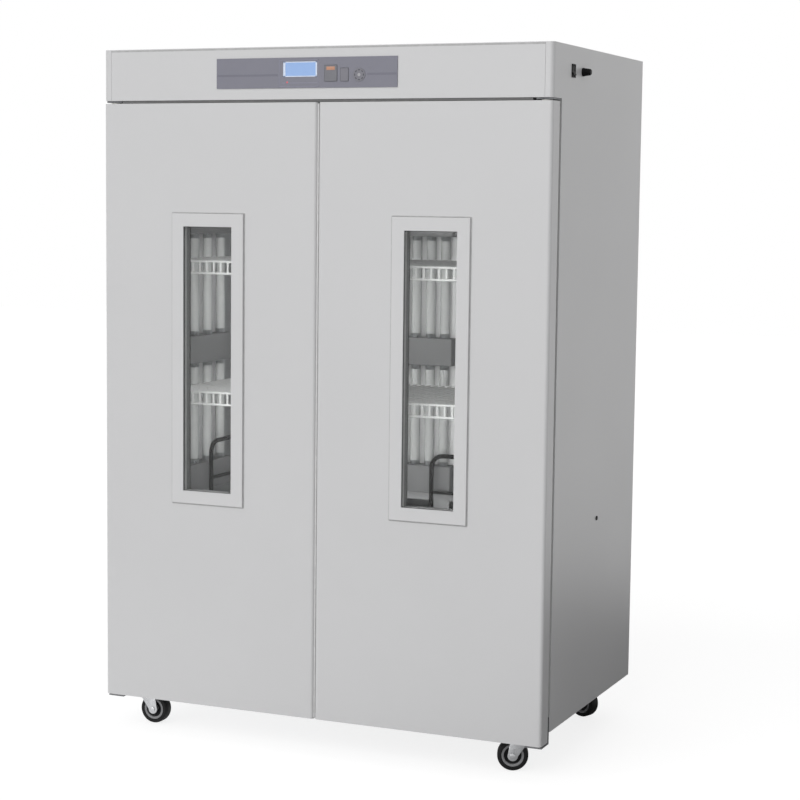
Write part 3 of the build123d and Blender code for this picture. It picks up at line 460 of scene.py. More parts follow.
LAMP = CoatedTube("lamp coat", shade(198, 199, 198))
CAP = Zinc("lamp cap", shade(178, 180, 182), 900.0, 0.34)
HEATER = OxideTube("heater sheath", shade(11, 11, 11), shade(20, 18, 17))
FINS = Zinc("fin aluminium", shade(190, 192, 195), 700.0, 0.3)
MACHINE = Enamel("machine enamel", shade(40, 40, 42), 0.35, 0.5)
PANEL = Film("panel film", shade(118, 118, 130))
PANEL_LINE = Film("panel line", shade(106, 106, 119))
PANEL_FRAME = Film("display surround", shade(130, 130, 146))
SCREEN = LitScreen("display glass", shade(118, 155, 208), 0.16)
SCREEN_EDGE = LitScreen("display edge", shade(196, 208, 226), 0.1)
STATUS_RED = LitScreen("status light", shade(196, 84, 90), 0.35)
CONTROL_BOX = Enamel("box enamel", shade(150, 152, 156), 0.4, 0.5)
BLACK = Moulding("black moulding", shade(13, 13, 14), 0.46, sheen=0.1)
KEY_GREY = Moulding("soft key", shade(124, 123, 131), 0.55)
KEY_DARK = Moulding("dark key", shade(119, 119, 125), 0.55)
KEY_ORANGE = Moulding("orange key bar", shade(196, 144, 118), 0.5)
KEY_MARK = Moulding("key mark", shade(78, 80, 88), 0.5)
KEY_LIGHT = Moulding("pale key", shade(172, 172, 176), 0.45)
SEAL = Rubber("door seal", shade(92, 92, 92), 1.35)
TYRE = Rubber("castor tyre", shade(13, 13, 14), 1.6)
HUB = Moulding("castor hub", shade(140, 140, 142), 0.5)
# Near-black sunk web of the wheel: painted shade in the recess.
HUB_WEB_SHADE = Moulding("castor hub recess", shade(26, 26, 28), 0.6, sheen=0.2)
GAP_SEAL = Rubber("header gap seal", shade(120, 120, 120), 1.1)
LIP = Rubber("meeting seal", shade(216, 216, 216), 1.02)
# Also the strip at the fascia's top edge, which is greyer there as painted shade of the cover's rounded edge.
FRAME_SEAL_AND_EDGE_SHADE = Rubber("window frame seal", shade(188, 188, 188), 1.06)
HINGE = Zinc("hinge plate", shade(118, 119, 121), 320.0, 0.5)
SPACER = Spacer("window spacer", shade(190, 190, 190), shade(136, 136, 136), -0.3375)
GLASS = ClearPane("window pane", (0.95, 0.957, 0.955))
NYLON = Moulding("bush nylon", shade(220, 219, 212), 0.4)
FOAM = CellFoam("rigid foam", shade(226, 214, 176))
# Near-black: painted shade for the uprights' slot openings, and the rear cover's real dark joint.
SLOT_SHADE_AND_JOINT = Moulding("punched hole", shade(24, 24, 25), 0.8)


@cache
def finish(kind: Finish) -> bpy.types.Material:
    """Builds a finish once and gives its material."""
    return kind.material()


# Shapes in mesh code


def frame_on(origin: Sequence[float], up: Sequence[float], right: Sequence[float]) -> Matrix:
    """Gives the placing of a local frame.

    Args:
        origin: Where its origin goes.
        up: Where its z axis points.
        right: Roughly where its x axis points.

    Returns:
        The matrix from local to the model's coordinates.
    """
    z = Vector(up).normalized()
    y = z.cross(Vector(right)).normalized()
    x = y.cross(z)
    matrix = Matrix((x, y, z)).transposed().to_4x4()
    matrix.translation = Vector(origin)
    return matrix


class Clay:
    """A mesh that grows by closed shapes, each in the model's coordinates."""

    def __init__(self) -> None:
        self.mesh = bmesh.new()

    def take(self, part: bmesh.types.BMesh, place: Matrix | None = None) -> None:
        """Adds a shape, with its faces turned outwards."""
        bmesh.ops.recalc_face_normals(part, faces=part.faces)
        if place is not None:
            part.transform(place)
        loose = bpy.data.meshes.new("loose")
        part.to_mesh(loose)
        part.free()
        self.mesh.from_mesh(loose)
        bpy.data.meshes.remove(loose)

    def slab(self, low: Sequence[float], high: Sequence[float], round_by: float = 0.0, steps: int = 2,
             place: Matrix | None = None) -> None:
        """Adds a block with rounded edges.

        Args:
            low: Its lowest corner.
            high: Its highest corner.
            round_by: The radius of its edges.
            steps: The faces across each edge.
            place: Its frame, if its corners are local.
        """
        part = bmesh.new()
        bmesh.ops.create_cube(part, size=1.0)
        a, b = Vector(low), Vector(high)
        part.transform(Matrix.Translation((a + b) / 2) @ Matrix.Diagonal((*(b - a), 1.0)))
        if round_by > 0:
            bmesh.ops.bevel(part, geom=part.edges[:], offset=round_by, segments=steps, profile=0.5,
                            affect="EDGES")
        self.take(part, place)

    def turned(self, outline: Sequence[tuple[float, float]], place: Matrix, sides: int,
               ring: bool = False) -> None:
        """Adds a turned shape.

        Args:
            outline: Its points as radius and height, from one end to the other.
            place: The frame whose z axis it turns about.
            sides: The faces round it.
            ring: True if the outline closes on itself, as a tyre's does.
        """
        part = bmesh.new()
        rings: list[list[bmesh.types.BMVert]] = []
        for radius, height in outline:
            if radius < 1e-7:
                rings.append([part.verts.new((0.0, 0.0, height))])
            else:
                turns = (2 * math.pi * n / sides for n in range(sides))
                spots = [(radius * math.cos(t), radius * math.sin(t), height) for t in turns]
                rings.append([part.verts.new(spot) for spot in spots])
        pairs = list(zip(rings, rings[1:]))
        if ring:
            pairs.append((rings[-1], rings[0]))
        for first, second in pairs:
            for n in range(sides):
                m = (n + 1) % sides
                near = [first[n % len(first)], first[m % len(first)]]
                far = [second[m % len(second)], second[n % len(second)]]
                unique = list(dict.fromkeys(near + far))
                if len(unique) > 2:
                    part.faces.new(unique)
        if not ring:
            for end in (rings[0], rings[-1]):
                if len(end) > 1:
                    part.faces.new(end)
        self.take(part, place)

    def plate(self, outline: Sequence[tuple[float, float]], depth: float, place: Matrix,
              round_by: float = 0.0) -> None:
        """Adds a flat shape cut from plate.

        Args:
            outline: Its corners in the frame's x and y.
            depth: Its thickness along the frame's z.
            place: The frame.
            round_by: The radius of the edges of its two faces.
        """
        part = bmesh.new()
        face = part.faces.new([part.verts.new((x, y, 0.0)) for x, y in outline])
        pushed = bmesh.ops.extrude_face_region(part, geom=[face])["geom"]
        moved = [item for item in pushed if isinstance(item, bmesh.types.BMVert)]
        bmesh.ops.translate(part, verts=moved, vec=(0.0, 0.0, depth))
        if round_by > 0:
            rims = [e for e in part.edges if abs(e.verts[0].co.z - e.verts[1].co.z) < 1e-9]
            bmesh.ops.bevel(part, geom=rims, offset=round_by, segments=2, profile=0.5, affect="EDGES")
        self.take(part, place)

    def lofted(self, sections: Sequence[Sequence[Point]], place: Matrix) -> None:
        """Adds a closed shape through sections that have the same number of points."""
        part = bmesh.new()
        loops = [[part.verts.new(point) for point in section] for section in sections]
        for first, second in zip(loops, loops[1:]):
            for n in range(len(first)):
                m = (n + 1) % len(first)
                part.faces.new((first[n], first[m], second[m], second[n]))
        part.faces.new(loops[0])
        part.faces.new(loops[-1])
        self.take(part, place)

    def piece(self, name: str) -> bpy.types.Object:
        """Turns what has been added into an object at the origin."""
        mesh = bpy.data.meshes.new(name)
        self.mesh.to_mesh(mesh)
        self.mesh.free()
        return placed(name, mesh)


def placed(name: str, mesh: bpy.types.Mesh) -> bpy.types.Object:
    """Links a mesh as an object at the origin, smooth but for its sharp edges."""
    mesh.shade_smooth()
    mesh.set_sharp_from_angle(angle=SMOOTH_ANGLE)
    thing = bpy.data.objects.new(name, mesh)
    bpy.context.scene.collection.objects.link(thing)
    return thing


def settle(thing: bpy.types.Object, body: str, kind: Finish | None = None,
           replaces: Iterable[str] = ()) -> None:
    """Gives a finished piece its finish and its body.

    Args:
        thing: The piece.
        body: The body it rides on.
        kind: Its finish, or None where its tree has set it.
        replaces: The nodes it stands for.
    """
    if kind is not None:
        thing.data.materials.clear()
        thing.data.materials.append(finish(kind))
    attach(thing, body)
    nodes = list(replaces)
    if nodes:
        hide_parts(*nodes)
    log.info("%s rides on %s", thing.name, body)


def dress(frame: dict[str, Any], kind: Finish, *names: str) -> None:
    """Puts a finish on carried-over nodes."""
    for name in names:
        mesh = frame["nodes"][name].data
        mesh.materials.clear()
        mesh.materials.append(finish(kind))


# Geometry Nodes trees


class Recipe:
    """A Geometry Nodes tree with named inputs.

    Args:
        name: The tree's name.
        inputs: Each input's name with its kind of socket.
    """

    def __init__(self, name: str, inputs: dict[str, str]) -> None:
        self.tree = bpy.data.node_groups.new(name, "GeometryNodeTree")
        face = self.tree.interface
        face.new_socket(name="Geometry", in_out="OUTPUT", socket_type="NodeSocketGeometry")
        self.keys = {}
        for label, kind in inputs.items():
            socket = face.new_socket(name=label, in_out="INPUT", socket_type=f"NodeSocket{kind}")
            self.keys[label] = socket.identifier
        self.enter = self.tree.nodes.new("NodeGroupInput")
        self.leave = self.tree.nodes.new("NodeGroupOutput")

    def node(self, kind: str, **settings: Any) -> bpy.types.Node:
        """Adds a node with its settings."""
        made = self.tree.nodes.new(kind)
        for name, value in settings.items():
            setattr(made, name, value)
        return made

    def join(self, source: Any, target: Any) -> None:
        """Links two sockets, or a named input to a socket."""
        self.tree.links.new(self.enter.outputs[source] if isinstance(source, str) else source, target)

    def math(self, operation: str, first: Any, second: Any) -> Any:
        """Gives the result of a sum on two sockets, names of inputs or numbers."""
        node = self.node("ShaderNodeMath", operation=operation)
        for index, value in enumerate((first, second)):
            if isinstance(value, (int, float)):
                node.inputs[index].default_value = value
            else:
                self.join(value, node.inputs[index])
        return node.outputs[0]

    def scaled(self, vector: str, factor: Any) -> Any:
        """Gives a named vector input times a factor."""
        node = self.node("ShaderNodeVectorMath", operation="SCALE")
        self.join(vector, node.inputs[0])
        self.join(factor, node.inputs["Scale"])
        return node.outputs[0]

    def added(self, first: Any, second: Any) -> Any:
        """Gives the sum of two vectors."""
        node = self.node("ShaderNodeVectorMath", operation="ADD")
        self.join(first, node.inputs[0])
        self.join(second, node.inputs[1])
        return node.outputs[0]

    def close(self, socket: Any) -> None:
        """Ends the tree with plain geometry in the input's material."""
        real = self.node("GeometryNodeRealizeInstances")
        coat = self.node("GeometryNodeSetMaterial")
        self.join(socket, real.inputs[0])
        self.join(real.outputs[0], coat.inputs["Geometry"])
        self.join("Material", coat.inputs["Material"])
        self.join(coat.outputs[0], self.leave.inputs[0])

    def cast(self, values: dict[str, Any]) -> bpy.types.Mesh:
        """Runs the tree.

        Args:
            values: Each input's name with its value.

        Returns:
            The plain mesh that it makes.
        """
        holder = bpy.data.objects.new("holder", bpy.data.meshes.new("holder"))
        bpy.context.scene.collection.objects.link(holder)
        modifier = holder.modifiers.new("tree", "NODES")
        modifier.node_group = self.tree
        for label, value in values.items():
            modifier[self.keys[label]] = value
        holder.update_tag()
        depsgraph = bpy.context.evaluated_depsgraph_get()
        depsgraph.update()
        mesh = bpy.data.meshes.new_from_object(holder.evaluated_get(depsgraph), depsgraph=depsgraph)
        holder.modifiers.remove(modifier)
        bpy.data.objects.remove(holder)
        mesh.materials.clear()
        mesh.materials.append(values["Material"])
        mesh.polygons.foreach_set("material_index", [0] * len(mesh.polygons))
        return mesh


@cache
def row_recipe() -> Recipe:
    """Builds the tree that repeats a shape in rows and columns, each turned a little at random."""
    recipe = Recipe("rows of a shape", {
        "Shape": "Object", "Material": "Material", "Columns": "Int", "Rows": "Int", "Start": "Vector",
        "Column step": "Vector", "Row step": "Vector", "Turn axis": "Vector", "Turn spread": "Float",
        "Seed": "Int",
    })
    points = recipe.node("GeometryNodePoints")
    recipe.join(recipe.math("MULTIPLY", "Columns", "Rows"), points.inputs["Count"])
    index = recipe.node("GeometryNodeInputIndex").outputs[0]
    column = recipe.math("MODULO", index, "Columns")
    row = recipe.math("FLOOR", recipe.math("DIVIDE", recipe.math("ADD", index, 0.5), "Columns"), 0.0)
    along = recipe.added(recipe.scaled("Column step", column), recipe.scaled("Row step", row))
    spot = recipe.node("GeometryNodeSetPosition")
    recipe.join(points.outputs[0], spot.inputs["Geometry"])
    recipe.join(recipe.added("Start", along), spot.inputs["Position"])
    chance = recipe.node("FunctionNodeRandomValue", data_type="FLOAT")
    floats = [socket for socket in chance.inputs if socket.type == "VALUE"]
    recipe.join(recipe.math("MULTIPLY", "Turn spread", -1.0), floats[0])
    recipe.join("Turn spread", floats[1])
    recipe.join("Seed", chance.inputs["Seed"])
    turn = recipe.node("FunctionNodeAxisAngleToRotation")
    recipe.join("Turn axis", turn.inputs["Axis"])
    recipe.join([socket for socket in chance.outputs if socket.type == "VALUE"][0], turn.inputs["Angle"])
    shape = recipe.node("GeometryNodeObjectInfo")
    recipe.join("Shape", shape.inputs["Object"])
    copies = recipe.node("GeometryNodeInstanceOnPoints")
    recipe.join(spot.outputs[0], copies.inputs["Points"])
    recipe.join(shape.outputs["Geometry"], copies.inputs["Instance"])
    recipe.join(turn.outputs[0], copies.inputs["Rotation"])
    recipe.close(copies.outputs[0])
    return recipe


@cache
def ring_recipe() -> Recipe:
    """Builds the tree that repeats a shape round a circle, each turned with its place."""
    recipe = Recipe("ring of a shape", {
        "Shape": "Object", "Material": "Material", "Count": "Int", "Radius": "Float",
        "Centre": "Vector", "Facing": "Vector",
    })
    circle = recipe.node("GeometryNodeMeshCircle")
    recipe.join("Count", circle.inputs["Vertices"])
    recipe.join("Radius", circle.inputs["Radius"])
    index = recipe.node("GeometryNodeInputIndex").outputs[0]
    share = recipe.math("DIVIDE", recipe.math("MULTIPLY", index, 2 * math.pi), "Count")
    turn = recipe.node("FunctionNodeAxisAngleToRotation")
    turn.inputs["Axis"].default_value = (0.0, 0.0, 1.0)
    recipe.join(share, turn.inputs["Angle"])
    shape = recipe.node("GeometryNodeObjectInfo")
    recipe.join("Shape", shape.inputs["Object"])
    copies = recipe.node("GeometryNodeInstanceOnPoints")
    recipe.join(circle.outputs[0], copies.inputs["Points"])
    recipe.join(shape.outputs["Geometry"], copies.inputs["Instance"])
    recipe.join(turn.outputs[0], copies.inputs["Rotation"])
    facing = recipe.node("FunctionNodeAlignRotationToVector", axis="Z")
    recipe.join("Facing", facing.inputs["Vector"])
    move = recipe.node("GeometryNodeTransform")
    recipe.join(copies.outputs[0], move.inputs["Geometry"])
    recipe.join("Centre", move.inputs["Translation"])
    recipe.join(facing.outputs[0], move.inputs["Rotation"])
    recipe.close(move.outputs[0])
    return recipe


@cache
def tube_recipe() -> Recipe:
    """Builds the tree that runs a round bar or tube along a route."""
    recipe = Recipe("tube along a route", {
        "Route": "Object", "Material": "Material", "Radius": "Float", "Sides": "Int",
    })
    route = recipe.node("GeometryNodeObjectInfo")
    recipe.join("Route", route.inputs["Object"])
    section = recipe.node("GeometryNodeCurvePrimitiveCircle")
    recipe.join("Sides", section.inputs["Resolution"])
    recipe.join("Radius", section.inputs["Radius"])
    sweep = recipe.node("GeometryNodeCurveToMesh")
    sweep.inputs["Fill Caps"].default_value = True
    recipe.join(route.outputs["Geometry"], sweep.inputs["Curve"])
    recipe.join(section.outputs[0], sweep.inputs["Profile Curve"])
    recipe.close(sweep.outputs[0])
    return recipe


def lent(shape: bpy.types.Object, recipe: Recipe, values: dict[str, Any]) -> bpy.types.Mesh:
    """Runs a tree on a shape that is only needed for it, and clears the shape away."""
    mesh = recipe.cast(values)
    bpy.data.objects.remove(shape)
    return mesh


def ring_of(shape: bpy.types.Object, kind: Finish, count: int, radius: float, centre: Sequence[float],
            facing: Point) -> bpy.types.Mesh:
    """Repeats a shape round a circle, and clears the shape away.

    Args:
        shape: The shape, made at the origin.
        kind: Its finish.
        count: How many copies.
        radius: The circle's radius.
        centre: The circle's centre.
        facing: Where the shape's z axis points.

    Returns:
        One mesh with all of them.
    """
    return lent(shape, ring_recipe(), {
        "Shape": shape, "Material": finish(kind), "Count": count, "Radius": radius,
        "Centre": tuple(centre), "Facing": facing,
    })


@dataclass(frozen=True)
class Grid:
    """Where a shape's copies stand, and how far each may turn about an axis."""

    start: Point
    columns: int = 1
    rows: int = 1
    column_step: Point = (0.0, 0.0, 0.0)
    row_step: Point = (0.0, 0.0, 0.0)
    axis: Point = (0.0, 0.0, 1.0)
    spread: float = 0.0
    seed: int = 1

    def values(self) -> dict[str, Any]:
        """Gives the tree's inputs that say where and how copies stand."""
        vectors = {"Start": self.start, "Column step": self.column_step, "Row step": self.row_step,
                   "Turn axis": self.axis}
        floats = {label: tuple(map(float, vector)) for label, vector in vectors.items()}
        return {"Columns": self.columns, "Rows": self.rows, "Turn spread": self.spread, "Seed": self.seed,
                **floats}


def rows(shape: bpy.types.Object, kind: Finish, grids: Sequence[Grid]) -> bpy.types.Mesh:
    """Repeats a shape on one or more grids.

    Args:
        shape: The shape, made at the origin, which is cleared away after.
        kind: Its finish.
        grids: Where its copies stand.

    Returns:
        One mesh with all of them.
    """
    whole = bmesh.new()
    for grid in grids:
        mesh = row_recipe().cast({"Shape": shape, "Material": finish(kind), **grid.values()})
        whole.from_mesh(mesh)
        bpy.data.meshes.remove(mesh)
    bpy.data.objects.remove(shape)
    result = bpy.data.meshes.new("rows")
    whole.to_mesh(result)
    whole.free()
    result.materials.append(finish(kind))
    return result


def route(points: Sequence[Sequence[float]], closed: bool = False, bend: float = 0.0) -> bpy.types.Object:
    """Makes a route of straight runs whose corners are rounded by a bend.

    Args:
        points: Its corners.
        closed: True if it goes back to its start.
        bend: How far from a corner its bend begins.

    Returns:
        The curve's object.
    """
    curve = bpy.data.curves.new("route", "CURVE")
    curve.dimensions = "3D"
    curve.resolution_u = 5
    corners = [Vector(p) for p in points]
    count = len(corners)
    knots: list[tuple[Vector, Vector, Vector]] = []
    for n, corner in enumerate(corners):
        if bend <= 0 or (not closed and n in (0, count - 1)):
            knots.append((corner, corner, corner))
            continue
        back = (corners[n - 1] - corner).normalized() * bend
        ahead = (corners[(n + 1) % count] - corner).normalized() * bend
        knots.append((corner + back, corner + back, corner + back * 0.45))
        knots.append((corner + ahead, corner + ahead * 0.45, corner + ahead))
    spline = curve.splines.new("BEZIER")
    spline.bezier_points.add(len(knots) - 1)
    spline.use_cyclic_u = closed
    for point, (place, before, after) in zip(spline.bezier_points, knots):
        point.handle_left_type = point.handle_right_type = "FREE"
        point.co, point.handle_left, point.handle_right = place, before, after
    made = bpy.data.objects.new("route", curve)
    bpy.context.scene.collection.objects.link(made)
    return made


def tube(line: bpy.types.Object, radius: float, kind: Finish, sides: int = 12) -> bpy.types.Mesh:
    """Runs a round bar along a route and clears the route away."""
    values = {"Route": line, "Material": finish(kind), "Radius": float(radius), "Sides": sides}
    return lent(line, tube_recipe(), values)


def merged(name: str, meshes: Sequence[bpy.types.Mesh]) -> bpy.types.Object:
    """Joins meshes into one object, and keeps the first one's finish."""
    whole = bmesh.new()
    for mesh in meshes:
        whole.from_mesh(mesh)
    result = bpy.data.meshes.new(name)
    whole.to_mesh(result)
    whole.free()
    result.materials.append(meshes[0].materials[0])
    for mesh in meshes:
        bpy.data.meshes.remove(mesh)
    return placed(name, result)


@dataclass(frozen=True)
class Rectangle:
    """An upright rectangle, as seen from the doors."""

    left: float
    foot: float
    right: float
    top: float

    @classmethod
    def of(cls, node: str, inset: float = 0.0) -> Rectangle:
        """Gives a node's outline, drawn in by an inset."""
        low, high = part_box(node)
        return cls(low.x, low.z, high.x, high.z).drawn_in(inset)

    def drawn_in(self, inset: float) -> Rectangle:
        """Gives the rectangle that lies inside this one by an inset."""
        return Rectangle(self.left + inset, self.foot + inset, self.right - inset, self.top - inset)

    def bars(self, ends: float, left: float, right: float) -> tuple[Rectangle, ...]:
        """Gives the four bars that lie inside its edges.

        Args:
            ends: The height of the foot's and the top's bar.
            left: The width of the left bar.
            right: The width of the right bar.

        Returns:
            The bars of the foot, the top, the left and the right.
        """
        return (
            Rectangle(self.left, self.foot, self.right, self.foot + ends),
            Rectangle(self.left, self.top - ends, self.right, self.top),
            Rectangle(self.left, self.foot, self.left + left, self.top),
            Rectangle(self.right - right, self.foot, self.right, self.top),
        )

    def loop(self, y: float) -> list[Point]:
        """Gives its corners at a depth, in order round it."""
        left, foot, right, top = self.left, self.foot, self.right, self.top
        return [(x, y, z) for x, z in ((left, foot), (right, foot), (right, top), (left, top))]

    def slab(self, clay: Clay, front: float, back: float, round_by: float = 0.0) -> None:
        """Adds a block of this outline between two depths."""
        clay.slab((self.left, front, self.foot), (self.right, back, self.top), round_by, 1)


def screws(name: str, body: str, radius: float, height: float, facing: Point, grids: Sequence[Grid]) -> None:
    """Sets rows of domed screw heads, each turned a little at random about its own axis.

    Args:
        name: The piece's name.
        body: The body it rides on.
        radius: A head's radius.
        height: How far a head stands proud.
        facing: Where the heads point.
        grids: Where they stand.
    """
    dome = [(0.0, height), (radius * 0.45, height * 0.97), (radius * 0.8, height * 0.72),
            (radius, height * 0.2), (radius, -height), (0.0, -height)]
    clay = Clay()
    clay.turned(dome, frame_on((0, 0, 0), facing, RIGHTWARDS), SCREW_SIDES)
    axis = tuple(abs(part) for part in facing)
    turned = [replace(grid, axis=axis, spread=SCREW_TURN) for grid in grids]
    settle(placed(name, rows(clay.piece("screw"), PLATED, turned)), body)


# The cabinet's sub-assemblies


@dataclass
class Cabinet:
    """The outer sheets, base frame and insulation, with the rear's louvres and screws."""

    frame: dict[str, Any]
    louvre_columns: int = 3
    louvre_rows: int = 14
    louvre_width: float = 250 * MM
    louvre_height: float = 7 * MM
    louvre_depth: float = 9 * MM
    louvre_lap: float = 3 * MM
    louvre_sheet: float = 0.8 * MM
    screw_radius: float = 4 * MM
    screw_height: float = 0.6 * MM
    screw_inset: float = 14 * MM
    edge_height: float = 4.5 * MM
    edge_proud: float = 0.2 * MM
    edge_depth: float = 2 * MM
    joint: float = 1.6 * MM
    joint_inset: float = 2 * MM
    wiper_reach: float = 540 * MM
    wiper_sink: float = 3 * MM
    wiper_depth: float = 9 * MM

    def build(self) -> None:
        """Dresses the sheets and adds what they carry."""
        dress(self.frame, CASE, "left_side_panel", "right_side_panel", "top_cover", "header_fascia",
              "rear_panel", "rear_vent_cover")
        dress(self.frame, GALVANISED, "base_frame")
        dress(self.frame, FOAM, "foam_insulation")
        self.edge_bead()
        self.header_seal()
        self.louvres()
        self.cover_seam()
        self.rear_screws()

    def edge_bead(self) -> None:
        """Lays the strip between the top cover and the fascia, wider and greyer than a seam: part seam, part
        painted shade of the cover's rounded front edge.
        """
        low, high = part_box("header_fascia")
        clay = Clay()
        clay.slab((low.x, low.y - self.edge_proud, high.z - self.edge_height),
                  (high.x, low.y + self.edge_depth, high.z), 0.3 * MM, 1)
        settle(clay.piece("cover_edge_bead"), "root", FRAME_SEAL_AND_EDGE_SHADE)

    def header_seal(self) -> None:
        """Hangs the grey wiper seal in the gap between the header and the doors' tops."""
        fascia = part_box("header_fascia")[0]
        door_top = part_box("right_door_skin")[1].z
        front = fascia.y + self.wiper_sink
        clay = Clay()
        reach = self.wiper_reach
        clay.slab((-reach, front, door_top + MM), (reach, front + self.wiper_depth, fascia.z), 0.4 * MM, 1)
        settle(clay.piece("header_gap_seal"), "root", GAP_SEAL)

    def louvres(self) -> None:
        """Presses a slanted blade inwards behind each slot of the rear cover."""
        low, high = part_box("rear_vent_cover")
        half, drop = self.louvre_width / 2 + self.louvre_lap, self.louvre_height * 1.4
        depth, sheet = self.louvre_depth, self.louvre_sheet
        blade = [(0.0, 0.0), (0.0, -sheet), (-depth * 0.7, -drop * 0.9), (-depth, -drop),
                 (-depth, -drop + sheet)]
        clay = Clay()
        clay.plate(blade, 2 * half, frame_on((-half, 0, 0), RIGHTWARDS, BACKWARDS))
        step_x = (high.x - low.x) / self.louvre_columns
        step_z = (high.z - low.z) / (self.louvre_rows + 2)
        middle = (low.z + high.z) / 2
        start = (-(self.louvre_columns - 1) / 2 * step_x, low.y - 0.05 * MM,
                 middle - (self.louvre_rows - 1) / 2 * step_z + self.louvre_height / 2 + 2 * MM)
        grid = Grid(start, self.louvre_columns, self.louvre_rows, (step_x, 0, 0), (0, 0, step_z))
        settle(placed("rear_louvre_blades", rows(clay.piece("blade"), CASE, [grid])), "root")

    def cover_seam(self) -> None:
        """Draws the joint between the rear panel and its vent cover as a thin dark line."""
        low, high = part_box("rear_vent_cover")
        half = self.joint / 2
        line = Rectangle(low.x + self.joint_inset, high.z - half, high.x - self.joint_inset, high.z + half)
        clay = Clay()
        line.slab(clay, high.y - MM, high.y + 0.1 * MM)
        settle(clay.piece("rear_cover_seam"), "root", SLOT_SHADE_AND_JOINT)

    def rear_screws(self) -> None:
        """Sets the screws round the rear panel and its vent cover."""
        low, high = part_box("rear_panel")
        vent_low, vent_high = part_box("rear_vent_cover")
        inset = self.screw_inset
        left, span = low.x + inset, high.x - low.x - 2 * inset
        step_z = (high.z - low.z - 2 * inset) / 5
        grids = [
            Grid((left, high.y, low.z + inset), 2, 6, (span, 0, 0), (0, 0, step_z), seed=3),
            Grid((left + span / 5, high.y, high.z - inset), 4, 1, (span / 5, 0, 0), seed=5),
            Grid((left, high.y, vent_low.z + inset), 6, 2, (span / 5, 0, 0),
                 (0, 0, vent_high.z - vent_low.z - 2 * inset), seed=7),
        ]
        screws("rear_screws", "root", self.screw_radius, self.screw_height, BACKWARDS, grids)


